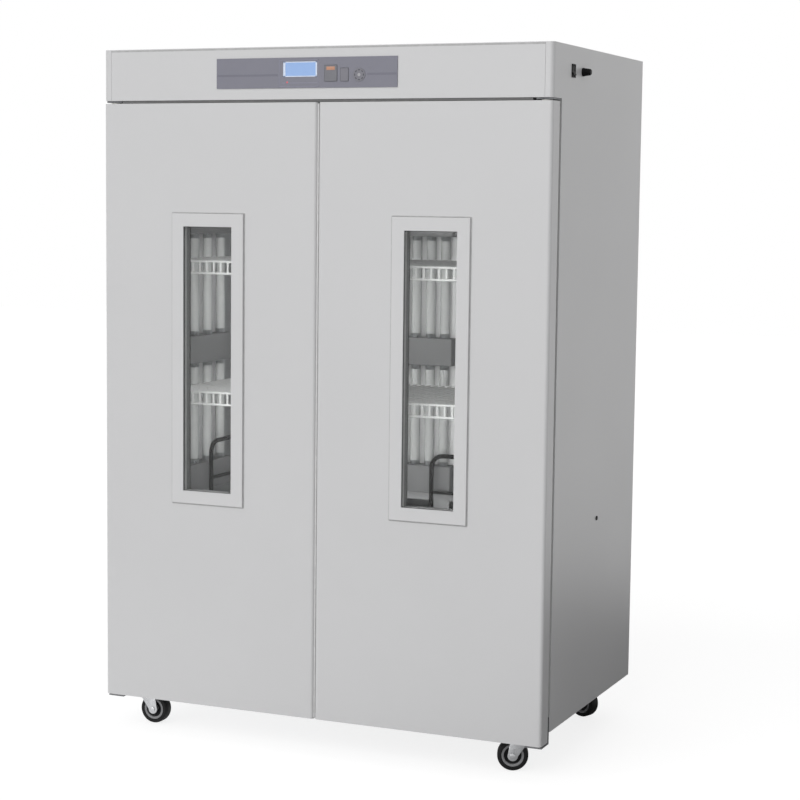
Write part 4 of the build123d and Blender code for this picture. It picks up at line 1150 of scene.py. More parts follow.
@dataclass
class Header:
    """The control panel on the fascia: film, display, status light, keys and pad."""

    frame: dict[str, Any]
    proud: float = 0.25 * MM
    print_proud: float = 0.15 * MM
    line_rise: float = 28.5 * MM
    line_height: float = 5 * MM
    line_end: float = 2 * MM
    display_gap: float = 14 * MM
    pad_gap: float = 3 * MM
    surround_left: float = 11 * MM
    surround_edge: float = 4 * MM
    surround_foot: float = 3 * MM
    surround_bar: float = 1.6 * MM
    rule_left: float = 10 * MM
    rule_right: float = 3 * MM
    rule_foot: float = 8 * MM
    rule_top: float = 10 * MM
    screen_height: float = 36 * MM
    screen_sink: float = 0.6 * MM
    screen_ends: float = 2.4 * MM
    screen_left: float = 6 * MM
    screen_right: float = 4 * MM
    light_radius: float = 2.4 * MM
    light_x: float = 11 * MM
    light_z: float = 2.5 * MM
    bar_half: float = 11 * MM
    bar_height: float = 8 * MM
    bar_drop: float = 6 * MM
    rim_inset: float = 2.6 * MM
    rim: float = 0.7 * MM
    mark_count: int = 8
    mark_ring: float = 11.4 * MM
    mark_half: tuple[float, float] = (1.5 * MM, 3.1 * MM)

    def build(self) -> None:
        """Dresses the panel and adds its printed and moulded parts."""
        dress(self.frame, PANEL, "control_panel")
        dress(self.frame, SCREEN, "display")
        dress(self.frame, CONTROL_BOX, "control_box")
        dress(self.frame, KEY_DARK, "set_key")
        dress(self.frame, KEY_GREY, "mode_key", "direction_pad")
        self.lines()
        self.display()
        self.keys()
        self.pad()

    def lines(self) -> None:
        """Lays the pressed lines left and right of the display and keys."""
        low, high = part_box("control_panel")
        display_left, pad_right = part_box("display")[0].x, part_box("direction_pad")[1].x
        z = low.z + self.line_rise
        clay = Clay()
        for left, right in ((low.x + self.line_end, display_left - self.display_gap),
                            (pad_right + self.pad_gap, high.x - self.line_end)):
            line = Rectangle(left, z, right, z + self.line_height)
            line.slab(clay, low.y - self.print_proud, low.y + MM, 0.1 * MM)
        settle(clay.piece("panel_lines"), "root", PANEL_LINE)

    def display(self) -> None:
        """Frames the display, edges its glass and sets the status light below it."""
        low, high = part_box("display")
        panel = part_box("control_panel")[0]
        front = panel.y
        edge, bar = self.surround_edge, self.surround_bar
        field = Rectangle(low.x - self.surround_left, panel.z + self.surround_foot, high.x + edge,
                          high.z + edge)
        rule = Rectangle(field.left + self.rule_left, field.foot + self.rule_foot,
                         field.right - self.rule_right, field.foot + self.rule_top)
        clay = Clay()
        for part in (*field.bars(bar, bar, bar), rule):
            part.slab(clay, front - self.proud, front + MM, 0.1 * MM)
        settle(clay.piece("display_surround"), "root", PANEL_FRAME)
        clay = Clay()
        face = front + self.screen_sink
        glass = Rectangle(low.x, high.z - self.screen_height, high.x, high.z)
        for part in glass.bars(self.screen_ends, self.screen_left, self.screen_right):
            part.drawn_in(0.1 * MM).slab(clay, face - 0.3 * MM, face + MM, 0.08 * MM)
        settle(clay.piece("display_edge"), "root", SCREEN_EDGE)
        clay = Clay()
        r = self.light_radius
        lens = [(0.0, 1.1 * MM), (1.6 * MM, 0.8 * MM), (r, 0.0), (r, -0.8 * MM), (0.0, -0.8 * MM)]
        centre = (low.x + self.light_x, front, low.z + self.light_z)
        clay.turned(lens, frame_on(centre, FORWARDS, RIGHTWARDS), 24)
        settle(clay.piece("status_light"), "root", STATUS_RED)

    def keys(self) -> None:
        """Puts the orange bar on the first key and a rim on both."""
        low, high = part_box("set_key")
        centre, top = (low.x + high.x) / 2, high.z - self.bar_drop
        clay = Clay()
        clay.slab((centre - self.bar_half, low.y - 0.3 * MM, top - self.bar_height),
                  (centre + self.bar_half, low.y + MM, top), 0.25 * MM, 2)
        settle(clay.piece("set_key_bar"), "set_key", KEY_ORANGE)
        for name in ("set_key", "mode_key"):
            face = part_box(name)[0].y
            clay = Clay()
            for part in Rectangle.of(name, self.rim_inset).bars(self.rim, self.rim, self.rim):
                part.slab(clay, face - self.print_proud, face + MM, 0.07 * MM)
            settle(clay.piece(f"{name}_rim"), name, KEY_MARK)

    def pad(self) -> None:
        """Rings the pad with its dark marks round a pale dished centre."""
        low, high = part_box("direction_pad")
        centre = ((low.x + high.x) / 2, low.y, (low.z + high.z) / 2)
        wide, tall = self.mark_half
        turns = (math.pi * n / 6 for n in range(12))
        clay = Clay()
        clay.plate([(wide * math.cos(t), tall * math.sin(t)) for t in turns], 0.5 * MM,
                   Matrix.Translation((0, 0, -0.3 * MM)))
        marks = ring_of(clay.piece("mark"), KEY_MARK, self.mark_count, self.mark_ring, centre, FORWARDS)
        settle(placed("direction_pad_marks", marks), "direction_pad")
        dish = [(0.0, 0.3 * MM), (2.0 * MM, 0.35 * MM), (3.0 * MM, 0.5 * MM), (3.8 * MM, 0.3 * MM),
                (4.0 * MM, -0.4 * MM), (0.0, -0.4 * MM)]
        clay = Clay()
        clay.turned(dish, frame_on(centre, FORWARDS, RIGHTWARDS), 32)
        settle(clay.piece("direction_pad_centre"), "direction_pad", KEY_LIGHT)


@dataclass
class SideFittings:
    """The power switch, the fuse holder and the port plug on the right side."""

    frame: dict[str, Any]
    flutes: int = 16
    stem_radius: float = 5 * MM
    knob_radius: float = 9.7 * MM
    tip_radius: float = 7.0 * MM
    knob_length: float = 20 * MM
    collar: float = 3 * MM
    shoulder: float = 4 * MM
    rib: float = 0.45 * MM
    bar_half: tuple[float, float] = (4.4 * MM, 0.8 * MM)

    def build(self) -> None:
        """Dresses the fittings and turns the knob."""
        dress(self.frame, BLACK, "side_fittings", "power_rocker")
        self.knob()

    def knob(self) -> None:
        """Turns the tapered fuse knob about its node's axis and raises its ribs and screwdriver bar."""
        low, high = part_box("fuse_cap")
        place = frame_on((low.x, (low.y + high.y) / 2, (low.z + high.z) / 2), RIGHTWARDS, BACKWARDS)
        reach = high.x - low.x
        face, end = reach - self.knob_length, reach - 1.5 * MM
        stem, base, tip = self.stem_radius, self.knob_radius, self.tip_radius
        outline = [(0.0, 0.0), (stem, 0.0), (stem, face), (base, face), (base, face + self.collar),
                   (base - MM, face + self.shoulder), (tip, end), (tip - 1.2 * MM, reach - 0.4 * MM),
                   (0.0, reach - 0.4 * MM)]
        clay = Clay()
        clay.turned(outline, place, self.flutes * 2)
        slope = math.atan2(base - MM - tip, end - face - self.shoulder)
        lean = Matrix.Translation((base - MM, 0, face + self.shoulder)) @ Matrix.Rotation(-slope, 4, "Y")
        for n in range(self.flutes):
            turn = Matrix.Rotation(2 * math.pi * n / self.flutes, 4, "Z")
            clay.slab((-MM, -self.rib, 0), (self.rib, self.rib, (reach - face - 6 * MM)), 0.2 * MM, 1,
                      place @ turn @ lean)
        x, y = self.bar_half
        clay.slab((-x, -y, reach - MM), (x, y, reach), 0.2 * MM, 1, place)
        settle(clay.piece("fuse_knob"), "fuse_cap", BLACK, ("fuse_cap",))


@dataclass
class Door:
    """One door: its painted skin, liner, seal, window and bushes."""

    frame: dict[str, Any]
    side: Side
    lap: float = 4 * MM
    bead: float = 2.4 * MM
    bead_bend: float = 3 * MM
    seam: float = 2.6 * MM
    seam_bend: float = 2 * MM
    seam_reach: float = 1.5 * MM
    band_reach: float = 11.6 * MM
    lip_width: float = 3.4 * MM
    lip_depth: float = 1.8 * MM
    screw_radius: float = 3.4 * MM
    screw_height: float = 1.1 * MM
    screw_inset: float = 11 * MM
    screw_rise: float = 130 * MM

    @property
    def body(self) -> str:
        """The body that the door's pieces ride on."""
        return f"{self.side.word}_door"

    def build(self) -> None:
        """Dresses the door's nodes and beads its window."""
        kinds = {
            "door_skin": DOOR, "door_core": FOAM, "door_liner": LINER_PLASTIC, "door_gasket": SEAL,
            "window_bezel": BEZEL, "window_spacer": SPACER, "window_glass": GLASS, "hinge_bushes": NYLON,
        }
        for node, kind in kinds.items():
            dress(self.frame, kind, f"{self.side.word}_{node}")
        self.window_bead()
        self.pane_band()
        self.frame_seal()
        self.liner_screws()
        if self.side is Side.RIGHT:
            self.meeting_lip()

    def seal_loop(self, name: str, field: Rectangle, y: float, width: float, bend: float,
                  kind: Rubber) -> None:
        """Runs a round seal along a rectangle.

        Args:
            name: What the piece is called after its side.
            field: The rectangle.
            y: Its depth.
            width: The seal's width.
            bend: How far from a corner its bend begins.
            kind: Its finish.
        """
        mesh = tube(route(field.loop(y), True, bend), width / 2, kind, 8)
        settle(placed(f"{self.side.word}_{name}", mesh), self.body)

    def window_bead(self) -> None:
        """Runs a thin rubber bead round the pane, inside the frame."""
        spacer = f"{self.side.word}_window_spacer"
        r = self.bead / 2
        field = Rectangle.of(spacer, self.lap).drawn_in(r * 0.4)
        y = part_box(spacer)[0].y - self.lap - r * 0.6
        self.seal_loop("window_bead", field, y, self.bead, self.bead_bend, SEAL)

    def pane_band(self) -> None:
        """Lays the band of sealant that hides the foam round the inner pane."""
        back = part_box(f"{self.side.word}_window_glass")[1].y
        inner = Rectangle.of(f"{self.side.word}_window_spacer", self.lap)
        outer = inner.drawn_in(-self.band_reach)
        clay = Clay()
        for part in (
            Rectangle(outer.left, outer.foot, inner.left, outer.top),
            Rectangle(inner.right, outer.foot, outer.right, outer.top),
            Rectangle(inner.left, outer.foot, inner.right, inner.foot),
            Rectangle(inner.left, inner.top, inner.right, outer.top),
        ):
            part.slab(clay, back - 0.2 * MM, back + 0.4 * MM)
        settle(clay.piece(f"{self.side.word}_pane_band"), self.body, SEAL)

    def frame_seal(self) -> None:
        """Runs the thin seal that shows round the window frame."""
        field = Rectangle.of(f"{self.side.word}_window_bezel", -self.seam_reach)
        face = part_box(f"{self.side.word}_door_skin")[0].y
        self.seal_loop("window_frame_seal", field, face, self.seam, self.seam_bend, FRAME_SEAL_AND_EDGE_SHADE)

    def meeting_lip(self) -> None:
        """Fits the pale lip that fills the gap between the two doors."""
        low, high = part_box("right_door_skin")
        front = low.y + self.lip_depth
        clay = Clay()
        clay.slab((low.x - self.lip_width, front, low.z + 3 * MM),
                  (low.x + 0.5 * MM, front + 9 * MM, high.z - 3 * MM), 0.8 * MM, 2)
        settle(clay.piece("meeting_lip"), "right_door", LIP)

    def liner_screws(self) -> None:
        """Caps the liner's screws down both edges of the door's back."""
        low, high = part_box(f"{self.side.word}_door_skin")
        inset, rise = self.screw_inset, self.screw_rise
        grid = Grid((low.x + inset, high.y, low.z + rise), 2, 6, (high.x - low.x - 2 * inset, 0, 0),
                    (0, 0, (high.z - low.z - 2 * rise) / 5), seed=11)
        name = f"{self.side.word}_liner_screws"
        screws(name, self.body, self.screw_radius, self.screw_height, BACKWARDS, [grid])


@dataclass
class Chamber:
    """The liner, duct, uprights and front frame that show when the doors open."""

    frame: dict[str, Any]
    slot_pitch: float = 25 * MM
    slot_height: float = 12 * MM
    slot_width: float = 3.2 * MM
    slot_sunk: float = 0.3 * MM
    slot_foot: float = 30 * MM
    slot_ends: float = 60 * MM
    upright_depth: float = 14 * MM
    upright_half: float = 7 * MM
    back_uprights: tuple[float, float] = (151 * MM, 462 * MM)
    screw_radius: float = 3.4 * MM
    screw_height: float = 1.2 * MM
    screw_inset: float = 12 * MM
    screw_rise: float = 40 * MM

    def build(self) -> None:
        """Dresses the liner and marks the uprights' slots in painted shade."""
        dress(self.frame, STAINLESS, "inner_liner")
        dress(self.frame, DUCT, "rear_duct")
        dress(self.frame, UPRIGHT, "shelf_uprights")
        dress(self.frame, LINER_PLASTIC, "front_frame")
        dress(self.frame, FINS, "evaporator")
        self.slots()
        self.duct_screws()

    def column(self, x: float, y: float, foot: float, top: float) -> Grid:
        """Gives one upright's column of slots between its foot and its top."""
        count = int((top - foot - self.slot_ends) / self.slot_pitch)
        return Grid((x, y, foot + self.slot_foot), rows=count, row_step=(0, 0, self.slot_pitch))

    def slots(self) -> None:
        """Rows the hook slots up each upright's front or inner face as shallow near-black patches, painted
        shade where the openings would be.
        """
        low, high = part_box("shelf_uprights")
        duct_low, duct_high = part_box("rear_duct")
        front, back, top = low.y + self.upright_depth, duct_low.y - self.upright_depth, duct_high.z
        half_x, half_z = self.slot_width / 2, self.slot_height / 2
        clay = Clay()
        clay.slab((-half_x, -self.slot_sunk, -half_z), (half_x, self.slot_sunk, half_z), 0.2 * MM, 1)
        grids = [self.column(0, front, low.z, top)]
        for sign in (-1, 1):
            grids.append(self.column(sign * (high.x - self.upright_half), front, low.z, top))
            grids += [self.column(sign * x, back, duct_low.z, top) for x in self.back_uprights]
        settle(placed("upright_slots", rows(clay.piece("slot"), SLOT_SHADE_AND_JOINT, grids)), "root")

    def duct_screws(self) -> None:
        """Screws the duct's baffle down both sides."""
        low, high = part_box("rear_duct")
        inset, rise = self.screw_inset, self.screw_rise
        grid = Grid((low.x + inset, low.y, low.z + rise), 2, 7, (high.x - low.x - 2 * inset, 0, 0),
                    (0, 0, (high.z - low.z - 2 * rise) / 6), seed=13)
        screws("duct_screws", "root", self.screw_radius, self.screw_height, FORWARDS, [grid])


@dataclass
class Shelves:
    """The coated wire shelves: bars that run back and turn down in front, on rim wires."""

    level: str
    inner: float = 16 * MM
    wire: float = 6.2 * MM
    pitch: float = 20.2 * MM
    bend: float = 5 * MM

    def build(self) -> None:
        """Bends the bars and rims of the left and right shelf at this level."""
        low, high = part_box(f"{self.level}_shelves")
        r = self.wire / 2
        y0, y1, top, foot = low.y + r, high.y - r, high.z - r, low.z + r
        x0, x1 = self.inner + r, high.x - r
        width = x1 - x0
        bars = round((width + self.wire) / self.pitch)
        step = width / bars
        rims = [(y0, foot), (y0, top), (y1, top), ((2 * y0 + y1) / 3, top - r), ((y0 + 2 * y1) / 3, top - r)]
        meshes = []
        for sign in (-1, 1):
            line = route([(0, y1, top), (0, y0, top), (0, y0, foot)], False, self.bend)
            grid = Grid((sign * x0, 0, 0), bars + 1, column_step=(sign * step, 0, 0))
            meshes.append(rows(placed("bar", tube(line, r, WIRE, 8)), WIRE, [grid]))
            for y, z in rims:
                meshes.append(tube(route([(sign * x0, y, z), (sign * x1, y, z)]), r * 0.98, WIRE, 10))
        piece = merged(f"{self.level}_wire_shelves", meshes)
        settle(piece, "root", WIRE, (f"{self.level}_shelves",))


@dataclass
class LampBanks:
    """The upright lamps with their caps, reflectors and socket rails."""

    back_pitch: float = 41 * MM
    back_count: int = 6
    side_pitch: float = 72 * MM
    side_count: int = 4
    levels: int = 2
    radius: float = 13 * MM
    length: float = 268 * MM
    rail_height: float = 73 * MM
    rail_depth: float = 46 * MM
    stand_off: float = 25 * MM
    cap: float = 11 * MM
    sheet: float = 2 * MM

    def build(self) -> None:
        """Places lamps, caps, reflectors and rails by the trays' boxes."""
        low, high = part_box("lamp_trays")
        duct_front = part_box("rear_duct")[0].y
        side_x = high.x
        tube_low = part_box("lamp_tubes")[0]
        middle_y = tube_low.y + self.radius + (self.side_count - 1) / 2 * self.side_pitch
        pitch_z = self.length + self.rail_height
        rise = (0, 0, pitch_z)
        start = (-(self.back_count - 1) / 2 * self.back_pitch, duct_front - self.stand_off, tube_low.z)
        grids = [Grid(start, self.back_count, self.levels, (self.back_pitch, 0, 0), rise)]
        side_start = middle_y - (self.side_count - 1) / 2 * self.side_pitch
        for sign in (-1, 1):
            start = (sign * (side_x - self.stand_off), side_start, tube_low.z)
            grids.append(Grid(start, self.side_count, self.levels, (0, self.side_pitch, 0), rise))
        clay = Clay()
        r, end = self.radius, self.cap
        top = self.length - end
        glass = [(0.0, end), (r * 0.9, end), (r * 0.985, end + 2 * MM), (r * 0.985, top - 2 * MM),
                 (r * 0.9, top), (0.0, top)]
        clay.turned(glass, Matrix.Identity(4), 24)
        settle(placed("lamp_glass", rows(clay.piece("lamp"), LAMP, grids)), "root", None,
               ("lamp_tubes",))
        cap = [(0.0, 0.0), (r * 0.94, 0.0), (r * 0.99, 0.8 * MM), (r * 0.99, end - 1.5 * MM),
               (r * 0.93, end - 0.4 * MM), (r * 0.9, end + MM), (0.0, end + MM)]
        flipped = Matrix.Translation((0, 0, self.length)) @ Matrix.Rotation(math.pi, 4, "X")
        clay = Clay()
        for place in (Matrix.Identity(4), flipped):
            clay.turned(cap, place, 24)
        settle(placed("lamp_caps", rows(clay.piece("caps"), CAP, grids)), "root")
        self.rails(duct_front, side_x, low.z, middle_y, pitch_z)

    def rails(self, duct_front: float, side_x: float, first_z: float, middle_y: float,
              pitch_z: float) -> None:
        """Bends the reflector sheets and the socket rails.

        Args:
            duct_front: Where the back bank's sheet stands.
            side_x: Where the side banks' sheets stand.
            first_z: The lowest rail's foot.
            middle_y: The middle of the side banks.
            pitch_z: From one rail to the next.
        """
        half_x = self.back_pitch * self.back_count / 2 + self.radius / 2
        half_y = self.side_pitch * self.side_count / 2
        top = first_z + self.levels * pitch_z + self.rail_height
        feet = [first_z + n * pitch_z for n in range(self.levels + 1)]
        sheets, rails = Clay(), Clay()
        sheets.slab((-half_x, duct_front - self.sheet, first_z), (half_x, duct_front, top), 0.4 * MM, 1)
        for z in feet:
            rails.slab((-half_x, duct_front - self.rail_depth, z), (half_x, duct_front, z + self.rail_height),
                       2.5 * MM, 3)
        for sign in (-1, 1):
            inner, outer = sorted((sign * (side_x - self.sheet), sign * side_x))
            sheets.slab((inner, middle_y - half_y, first_z), (outer, middle_y + half_y, top), 0.4 * MM, 1)
            inner, outer = sorted((sign * (side_x - self.rail_depth), sign * side_x))
            for z in feet:
                rails.slab((inner, middle_y - half_y, z), (outer, middle_y + half_y, z + self.rail_height),
                           2.5 * MM, 3)
        settle(sheets.piece("lamp_reflectors"), "root", REFLECTOR, ("lamp_trays",))
        settle(rails.piece("lamp_rails"), "root", SOCKET_RAIL)


@dataclass
class Heaters:
    """The bent tubular heaters on the step, with their cross bars and foot flanges."""

    radius: float = 6 * MM
    bend: float = 32 * MM
    span: float = 160 * MM
    bar_drop: float = 98 * MM
    back_x: float = 165 * MM
    side_x: float = 478 * MM
    back_drop: float = 24 * MM
    bar_half: float = 4.2 * MM
    bar_reach: float = 3 * MM
    flange_radius: float = 13 * MM
    flange_height: float = 4.2 * MM

    def build(self) -> None:
        """Runs the four loops by their node's box."""
        low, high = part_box("heater_loops")
        step = low.z
        back_y, side_y = high.y - self.radius, low.y + self.radius + self.span / 2
        side_top = high.z - self.radius
        back_top = side_top - self.back_drop
        meshes = []
        bars, feet = Clay(), Clay()
        half = self.span / 2
        loops = [((s * self.back_x, back_y), (1, 0), back_top) for s in (-1, 1)]
        loops += [((s * self.side_x, side_y), (0, 1), side_top) for s in (-1, 1)]
        for (x, y), (ux, uy), top in loops:
            ends = [(x + s * half * ux, y + s * half * uy) for s in (-1, 1)]
            corners = [(*ends[0], step), (*ends[0], top), (*ends[1], top), (*ends[1], step)]
            meshes.append(tube(route(corners, False, self.bend), self.radius * 0.98, HEATER, 20))
            z, thick = top - self.bar_drop, self.bar_reach
            low_corner = (x - half * ux - thick * uy, y - half * uy - thick * ux, z - self.bar_half)
            high_corner = (x + half * ux + thick * uy, y + half * uy + thick * ux, z + self.bar_half)
            bars.slab(low_corner, high_corner, 0.8 * MM, 2)
            for place in ends:
                flange = [(self.radius, 0.0), (self.flange_radius, 0.0), (self.flange_radius, 2.2 * MM),
                          (9 * MM, 3.4 * MM), (self.radius, self.flange_height)]
                feet.turned(flange, Matrix.Translation((*place, step)), 24, True)
        settle(merged("heater_tubes", meshes), "root", HEATER, ("heater_loops",))
        settle(bars.piece("heater_bars"), "root", HEATER)
        settle(feet.piece("heater_flanges"), "root", PLATED)


@dataclass
class MachineBay:
    """The compressor, finned condenser, fans and motors behind the rear louvres."""

    frame: dict[str, Any]
    fin_pitch: float = 4.0 * MM
    fin: float = 0.5 * MM
    fin_margin: float = 12 * MM
    pipe_radius: float = 4.5 * MM
    pipe_rows: int = 10
    pipe_inset: float = 14 * MM

    def build(self) -> None:
        """Dresses the machine and fills the condenser with fins and pipes."""
        dress(self.frame, MACHINE, "fan_motors", "compressor")
        dress(self.frame, GALVANISED, "condenser_shroud")
        low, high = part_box("condenser")
        margin = self.fin_margin
        clay = Clay()
        clay.slab((0, low.y + 2 * MM, low.z + MM), (self.fin, high.y, high.z - MM))
        count = int((high.x - low.x - 2 * margin) / self.fin_pitch)
        grid = Grid((low.x + margin, 0, 0), count, column_step=(self.fin_pitch, 0, 0))
        fins = rows(clay.piece("fin"), FINS, [grid])
        settle(placed("condenser_fins", fins), "root", None, ("condenser",))
        clay = Clay()
        for x0, x1 in ((low.x, low.x + 2 * MM), (high.x - 2 * MM, high.x)):
            clay.slab((x0, low.y + 0.2 * MM, low.z), (x1, high.y, high.z), 0.3 * MM, 1)
        reach = high.x - low.x
        pipe = [(0.0, 0.0), (self.pipe_radius, 0.0), (self.pipe_radius, reach), (0.0, reach)]
        for n in range(self.pipe_rows):
            z = low.z + (n + 0.5) * (high.z - low.z) / self.pipe_rows
            for y in (low.y + self.pipe_inset, high.y - self.pipe_inset):
                clay.turned(pipe, frame_on((low.x, y, z), RIGHTWARDS, BACKWARDS), 12)
        settle(clay.piece("condenser_pipes"), "root", FINS)


@dataclass
class Fan:
    """One axial fan: twisted sheet blades on a bored hub with a rounded free end."""

    frame: dict[str, Any]
    name: str
    free: float
    count: int = 5
    steps: int = 7
    hub_share: float = 0.26
    hub_depth: float = 18 * MM
    bore: float = 4.1 * MM
    thick: float = 1.4 * MM
    camber: float = 0.02
    sweep: float = 0.28
    root: tuple[float, float] = (0.3, math.radians(38))
    tip: tuple[float, float] = (0.54, math.radians(19))

    def build(self) -> None:
        """Turns the hub and sets the blades round it, about the fan's own joint."""
        joint = next(joint for joint in self.frame["joints"] if joint["child"] == self.name)
        low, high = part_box(self.name)
        centre = Vector((joint["pos_m"][0], (low.y + high.y) / 2, joint["pos_m"][2]))
        reach = high.z - centre.z
        hub = reach * self.hub_share
        clay = Clay()
        clay.lofted(self.sections(hub, reach), Matrix.Identity(4))
        mesh = ring_of(clay.piece("blade"), MACHINE, self.count, 0.0, centre, (0.0, self.free, 0.0))
        settle(placed(f"{self.name}_blades", mesh), self.name, None, (self.name,))
        half = self.hub_depth / 2
        outline = [(self.bore, -half), (hub, -half), (hub, half - 3 * MM), (hub - MM, half - 1.2 * MM),
                   (hub - 3 * MM, half), (self.bore, half)]
        clay = Clay()
        clay.turned(outline, frame_on(centre, (0, self.free, 0), RIGHTWARDS), 40, True)
        settle(clay.piece(f"{self.name}_hub"), self.name, MACHINE)

    def sections(self, hub: float, reach: float) -> list[list[Point]]:
        """Gives a blade's sections from inside the hub to the tip.

        Args:
            hub: The hub's radius.
            reach: The tip's radius.

        Returns:
            Each section's points, up its upper side and back down its lower side.
        """
        sections = []
        start = hub * 0.9
        for n in range(self.steps + 1):
            share = n / self.steps
            radius = start + (reach - start) * share
            chord, pitch = (a + (b - a) * share for a, b in zip(self.root, self.tip))
            upper, lower = [], []
            for m in range(self.steps + 1):
                s = 2 * m / self.steps - 1
                run = s * chord * reach / 2
                turn = run * math.cos(pitch) / radius + self.sweep * share * share
                height = run * math.sin(pitch) + self.camber * reach * (0.5 - s * s)
                x, y = radius * math.cos(turn), radius * math.sin(turn)
                upper.append((x, y, height + self.thick / 2))
                lower.append((x, y, height - self.thick / 2))
            sections.append(upper + lower[::-1])
        return sections


@dataclass
class Castor:
    """One swivel castor: pressed fork, axle bolt, hub and tyre."""

    frame: dict[str, Any]
    name: str
    tyre_radius: float = 37.5 * MM
    rim_radius: float = 26.5 * MM
    half_width: float = 15 * MM
    fork_wall: float = 2.5 * MM
    crown_top: float = 88 * MM
    crown_bottom: float = 84 * MM
    race_radius: float = 19 * MM
    race_height: float = 8 * MM
    race_bore: float = 6.3 * MM
    leg_gap: float = 1.5 * MM
    leg_end: float = 12.5 * MM
    crown_reach: float = 6 * MM
    nut_radius: float = 7 * MM
    nut_height: float = 2.3 * MM
    bolt_radius: float = 3.9 * MM
    hub_bore: float = 4.2 * MM
    boss_radius: float = 9 * MM

    def build(self) -> None:
        """Reads the castor's two joints and builds its fork and wheel there."""
        joints = {joint["name"]: joint for joint in self.frame["joints"]}
        roll = joints[f"{self.name}_wheel_roll"]
        swivel = joints[f"{self.name}_castor_swivel"]
        axle = Vector(roll["pos_m"])
        across = Vector(roll["axis"]).normalized()
        pin = Vector((swivel["pos_m"][0], swivel["pos_m"][1], 0.0))
        along = Vector((axle.x - pin.x, axle.y - pin.y, 0.0)).normalized()
        if along.cross(Vector((0, 0, 1))).dot(across) < 0:
            across = -across
        self.fork(pin, axle, along, across)
        self.wheel(axle, along, across)

    def fork(self, pin: Vector, axle: Vector, along: Vector, across: Vector) -> None:
        """Presses the fork's two legs and crown, and bolts the axle.

        Args:
            pin: The kingpin's foot on the floor.
            axle: The wheel's centre.
            along: From the kingpin towards the axle, level.
            across: Along the axle.
        """
        trail = (axle - pin).dot(along)
        gap, end = self.half_width + self.leg_gap, self.leg_end
        race, top, crown_end = self.race_radius, self.crown_top, self.race_radius + self.crown_reach
        turns = (math.pi * (0.5 - n / 8) for n in range(9))
        tip = [(trail + end * math.sin(t), axle.z - end * math.cos(t)) for t in turns]
        leg = [(-race, top), (-race, self.crown_bottom - 6 * MM), *reversed(tip), (crown_end, top)]
        clay = Clay()
        for start in (-gap - self.fork_wall, gap):
            clay.plate(leg, self.fork_wall, frame_on(pin + across * start, across, along), 0.6 * MM)
        reach = gap + self.fork_wall
        clay.slab((-race, -reach, self.crown_bottom), (crown_end, reach, top), 1.2 * MM, 2,
                  frame_on(pin, UPWARDS, along))
        race_top = top + self.race_height
        outline = [(self.race_bore, top), (race - MM, top), (race, top + MM), (race, race_top - 1.5 * MM),
                   (race - 1.5 * MM, race_top), (self.race_bore, race_top)]
        clay.turned(outline, Matrix.Translation(pin), 40, True)
        corners = (math.pi / 3 * n for n in range(6))
        nut = [(self.nut_radius * math.cos(t), self.nut_radius * math.sin(t)) for t in corners]
        for sign in (-1, 1):
            place = frame_on(axle + across * sign * reach, across * sign, UPWARDS)
            clay.plate(nut, self.nut_height, place, 0.5 * MM)
        bolt = [(0.0, -reach), (self.bolt_radius, -reach), (self.bolt_radius, reach), (0.0, reach)]
        clay.turned(bolt, frame_on(axle, across, along), 20)
        settle(clay.piece(f"{self.name}_fork_pressing"), f"{self.name}_fork", PLATED,
               (f"{self.name}_castor_fork",))

    def wheel(self, axle: Vector, along: Vector, across: Vector) -> None:
        """Turns the tyre, the hub and its sunk web, whose near-black colour is painted shade in the recess.

        Args:
            axle: The wheel's centre.
            along: Level, across the axle.
            across: Along the axle.
        """
        place = frame_on(axle, across, along)
        r, w, rim = self.tyre_radius, self.half_width, self.rim_radius
        tread = [(rim, -w + 2 * MM), (rim + 2 * MM, -w), (r - 4 * MM, -w), (r - 1.4 * MM, -w + 1.5 * MM),
                 (r - 0.2 * MM, -w + 5 * MM), (r, 0.0), (r - 0.2 * MM, w - 5 * MM),
                 (r - 1.4 * MM, w - 1.5 * MM), (r - 4 * MM, w), (rim + 2 * MM, w), (rim, w - 2 * MM)]
        clay = Clay()
        clay.turned(tread, place, 72, True)
        body = f"{self.name}_wheel"
        settle(clay.piece(f"{self.name}_tyre"), body, TYRE, (f"{self.name}_castor_wheel",))
        bore, boss = self.hub_bore, self.boss_radius
        hub = [(bore, -w), (boss - MM, -w), (boss, -w + MM), (boss, -w + 7 * MM), (boss, w - 7 * MM),
               (boss, w - MM), (boss - MM, w), (bore, w)]
        clay = Clay()
        clay.turned(hub, place, 32, True)
        for sign in (-1, 1):
            ring = [(rim - 5.5 * MM, sign * (w - 7 * MM)), (rim - 5 * MM, sign * (w - 2.2 * MM)),
                    (rim - 4 * MM, sign * (w - 1.6 * MM)), (rim + 0.3 * MM, sign * (w - 1.6 * MM)),
                    (rim + 0.3 * MM, sign * (w - 7 * MM))]
            clay.turned(ring, place, 56, True)
        settle(clay.piece(f"{self.name}_hub"), body, HUB)
        web = [(boss - MM, -4 * MM), (rim, -6.5 * MM), (rim, 6.5 * MM), (boss - MM, 4 * MM)]
        clay = Clay()
        clay.turned(web, place, 56, True)
        settle(clay.piece(f"{self.name}_web"), body, HUB_WEB_SHADE)


@dataclass
class Mountings:
    """The hinge plates and castor plates, with their screws."""

    frame: dict[str, Any]
    castor_x: float = 514 * MM
    castor_y: float = 267 * MM
    plate_bottom: float = 102 * MM
    screw_x: float = 26 * MM
    screw_y: float = 16 * MM
    screw_radius: float = 4.6 * MM
    screw_height: float = 2.6 * MM

    def build(self) -> None:
        """Dresses the plates and screws them on."""
        dress(self.frame, HINGE, "hinge_plates")
        dress(self.frame, PLATED, "castor_plates")
        steps = (2 * self.screw_x, 0, 0), (0, 2 * self.screw_y, 0)
        grids = []
        for sign_x in (-1, 1):
            for sign_y in (-1, 1):
                start = (sign_x * self.castor_x - self.screw_x, sign_y * self.castor_y - self.screw_y,
                         self.plate_bottom)
                grids.append(Grid(start, 2, 2, *steps, seed=17))
        screws("castor_plate_screws", "root", self.screw_radius, self.screw_height, DOWNWARDS, grids)


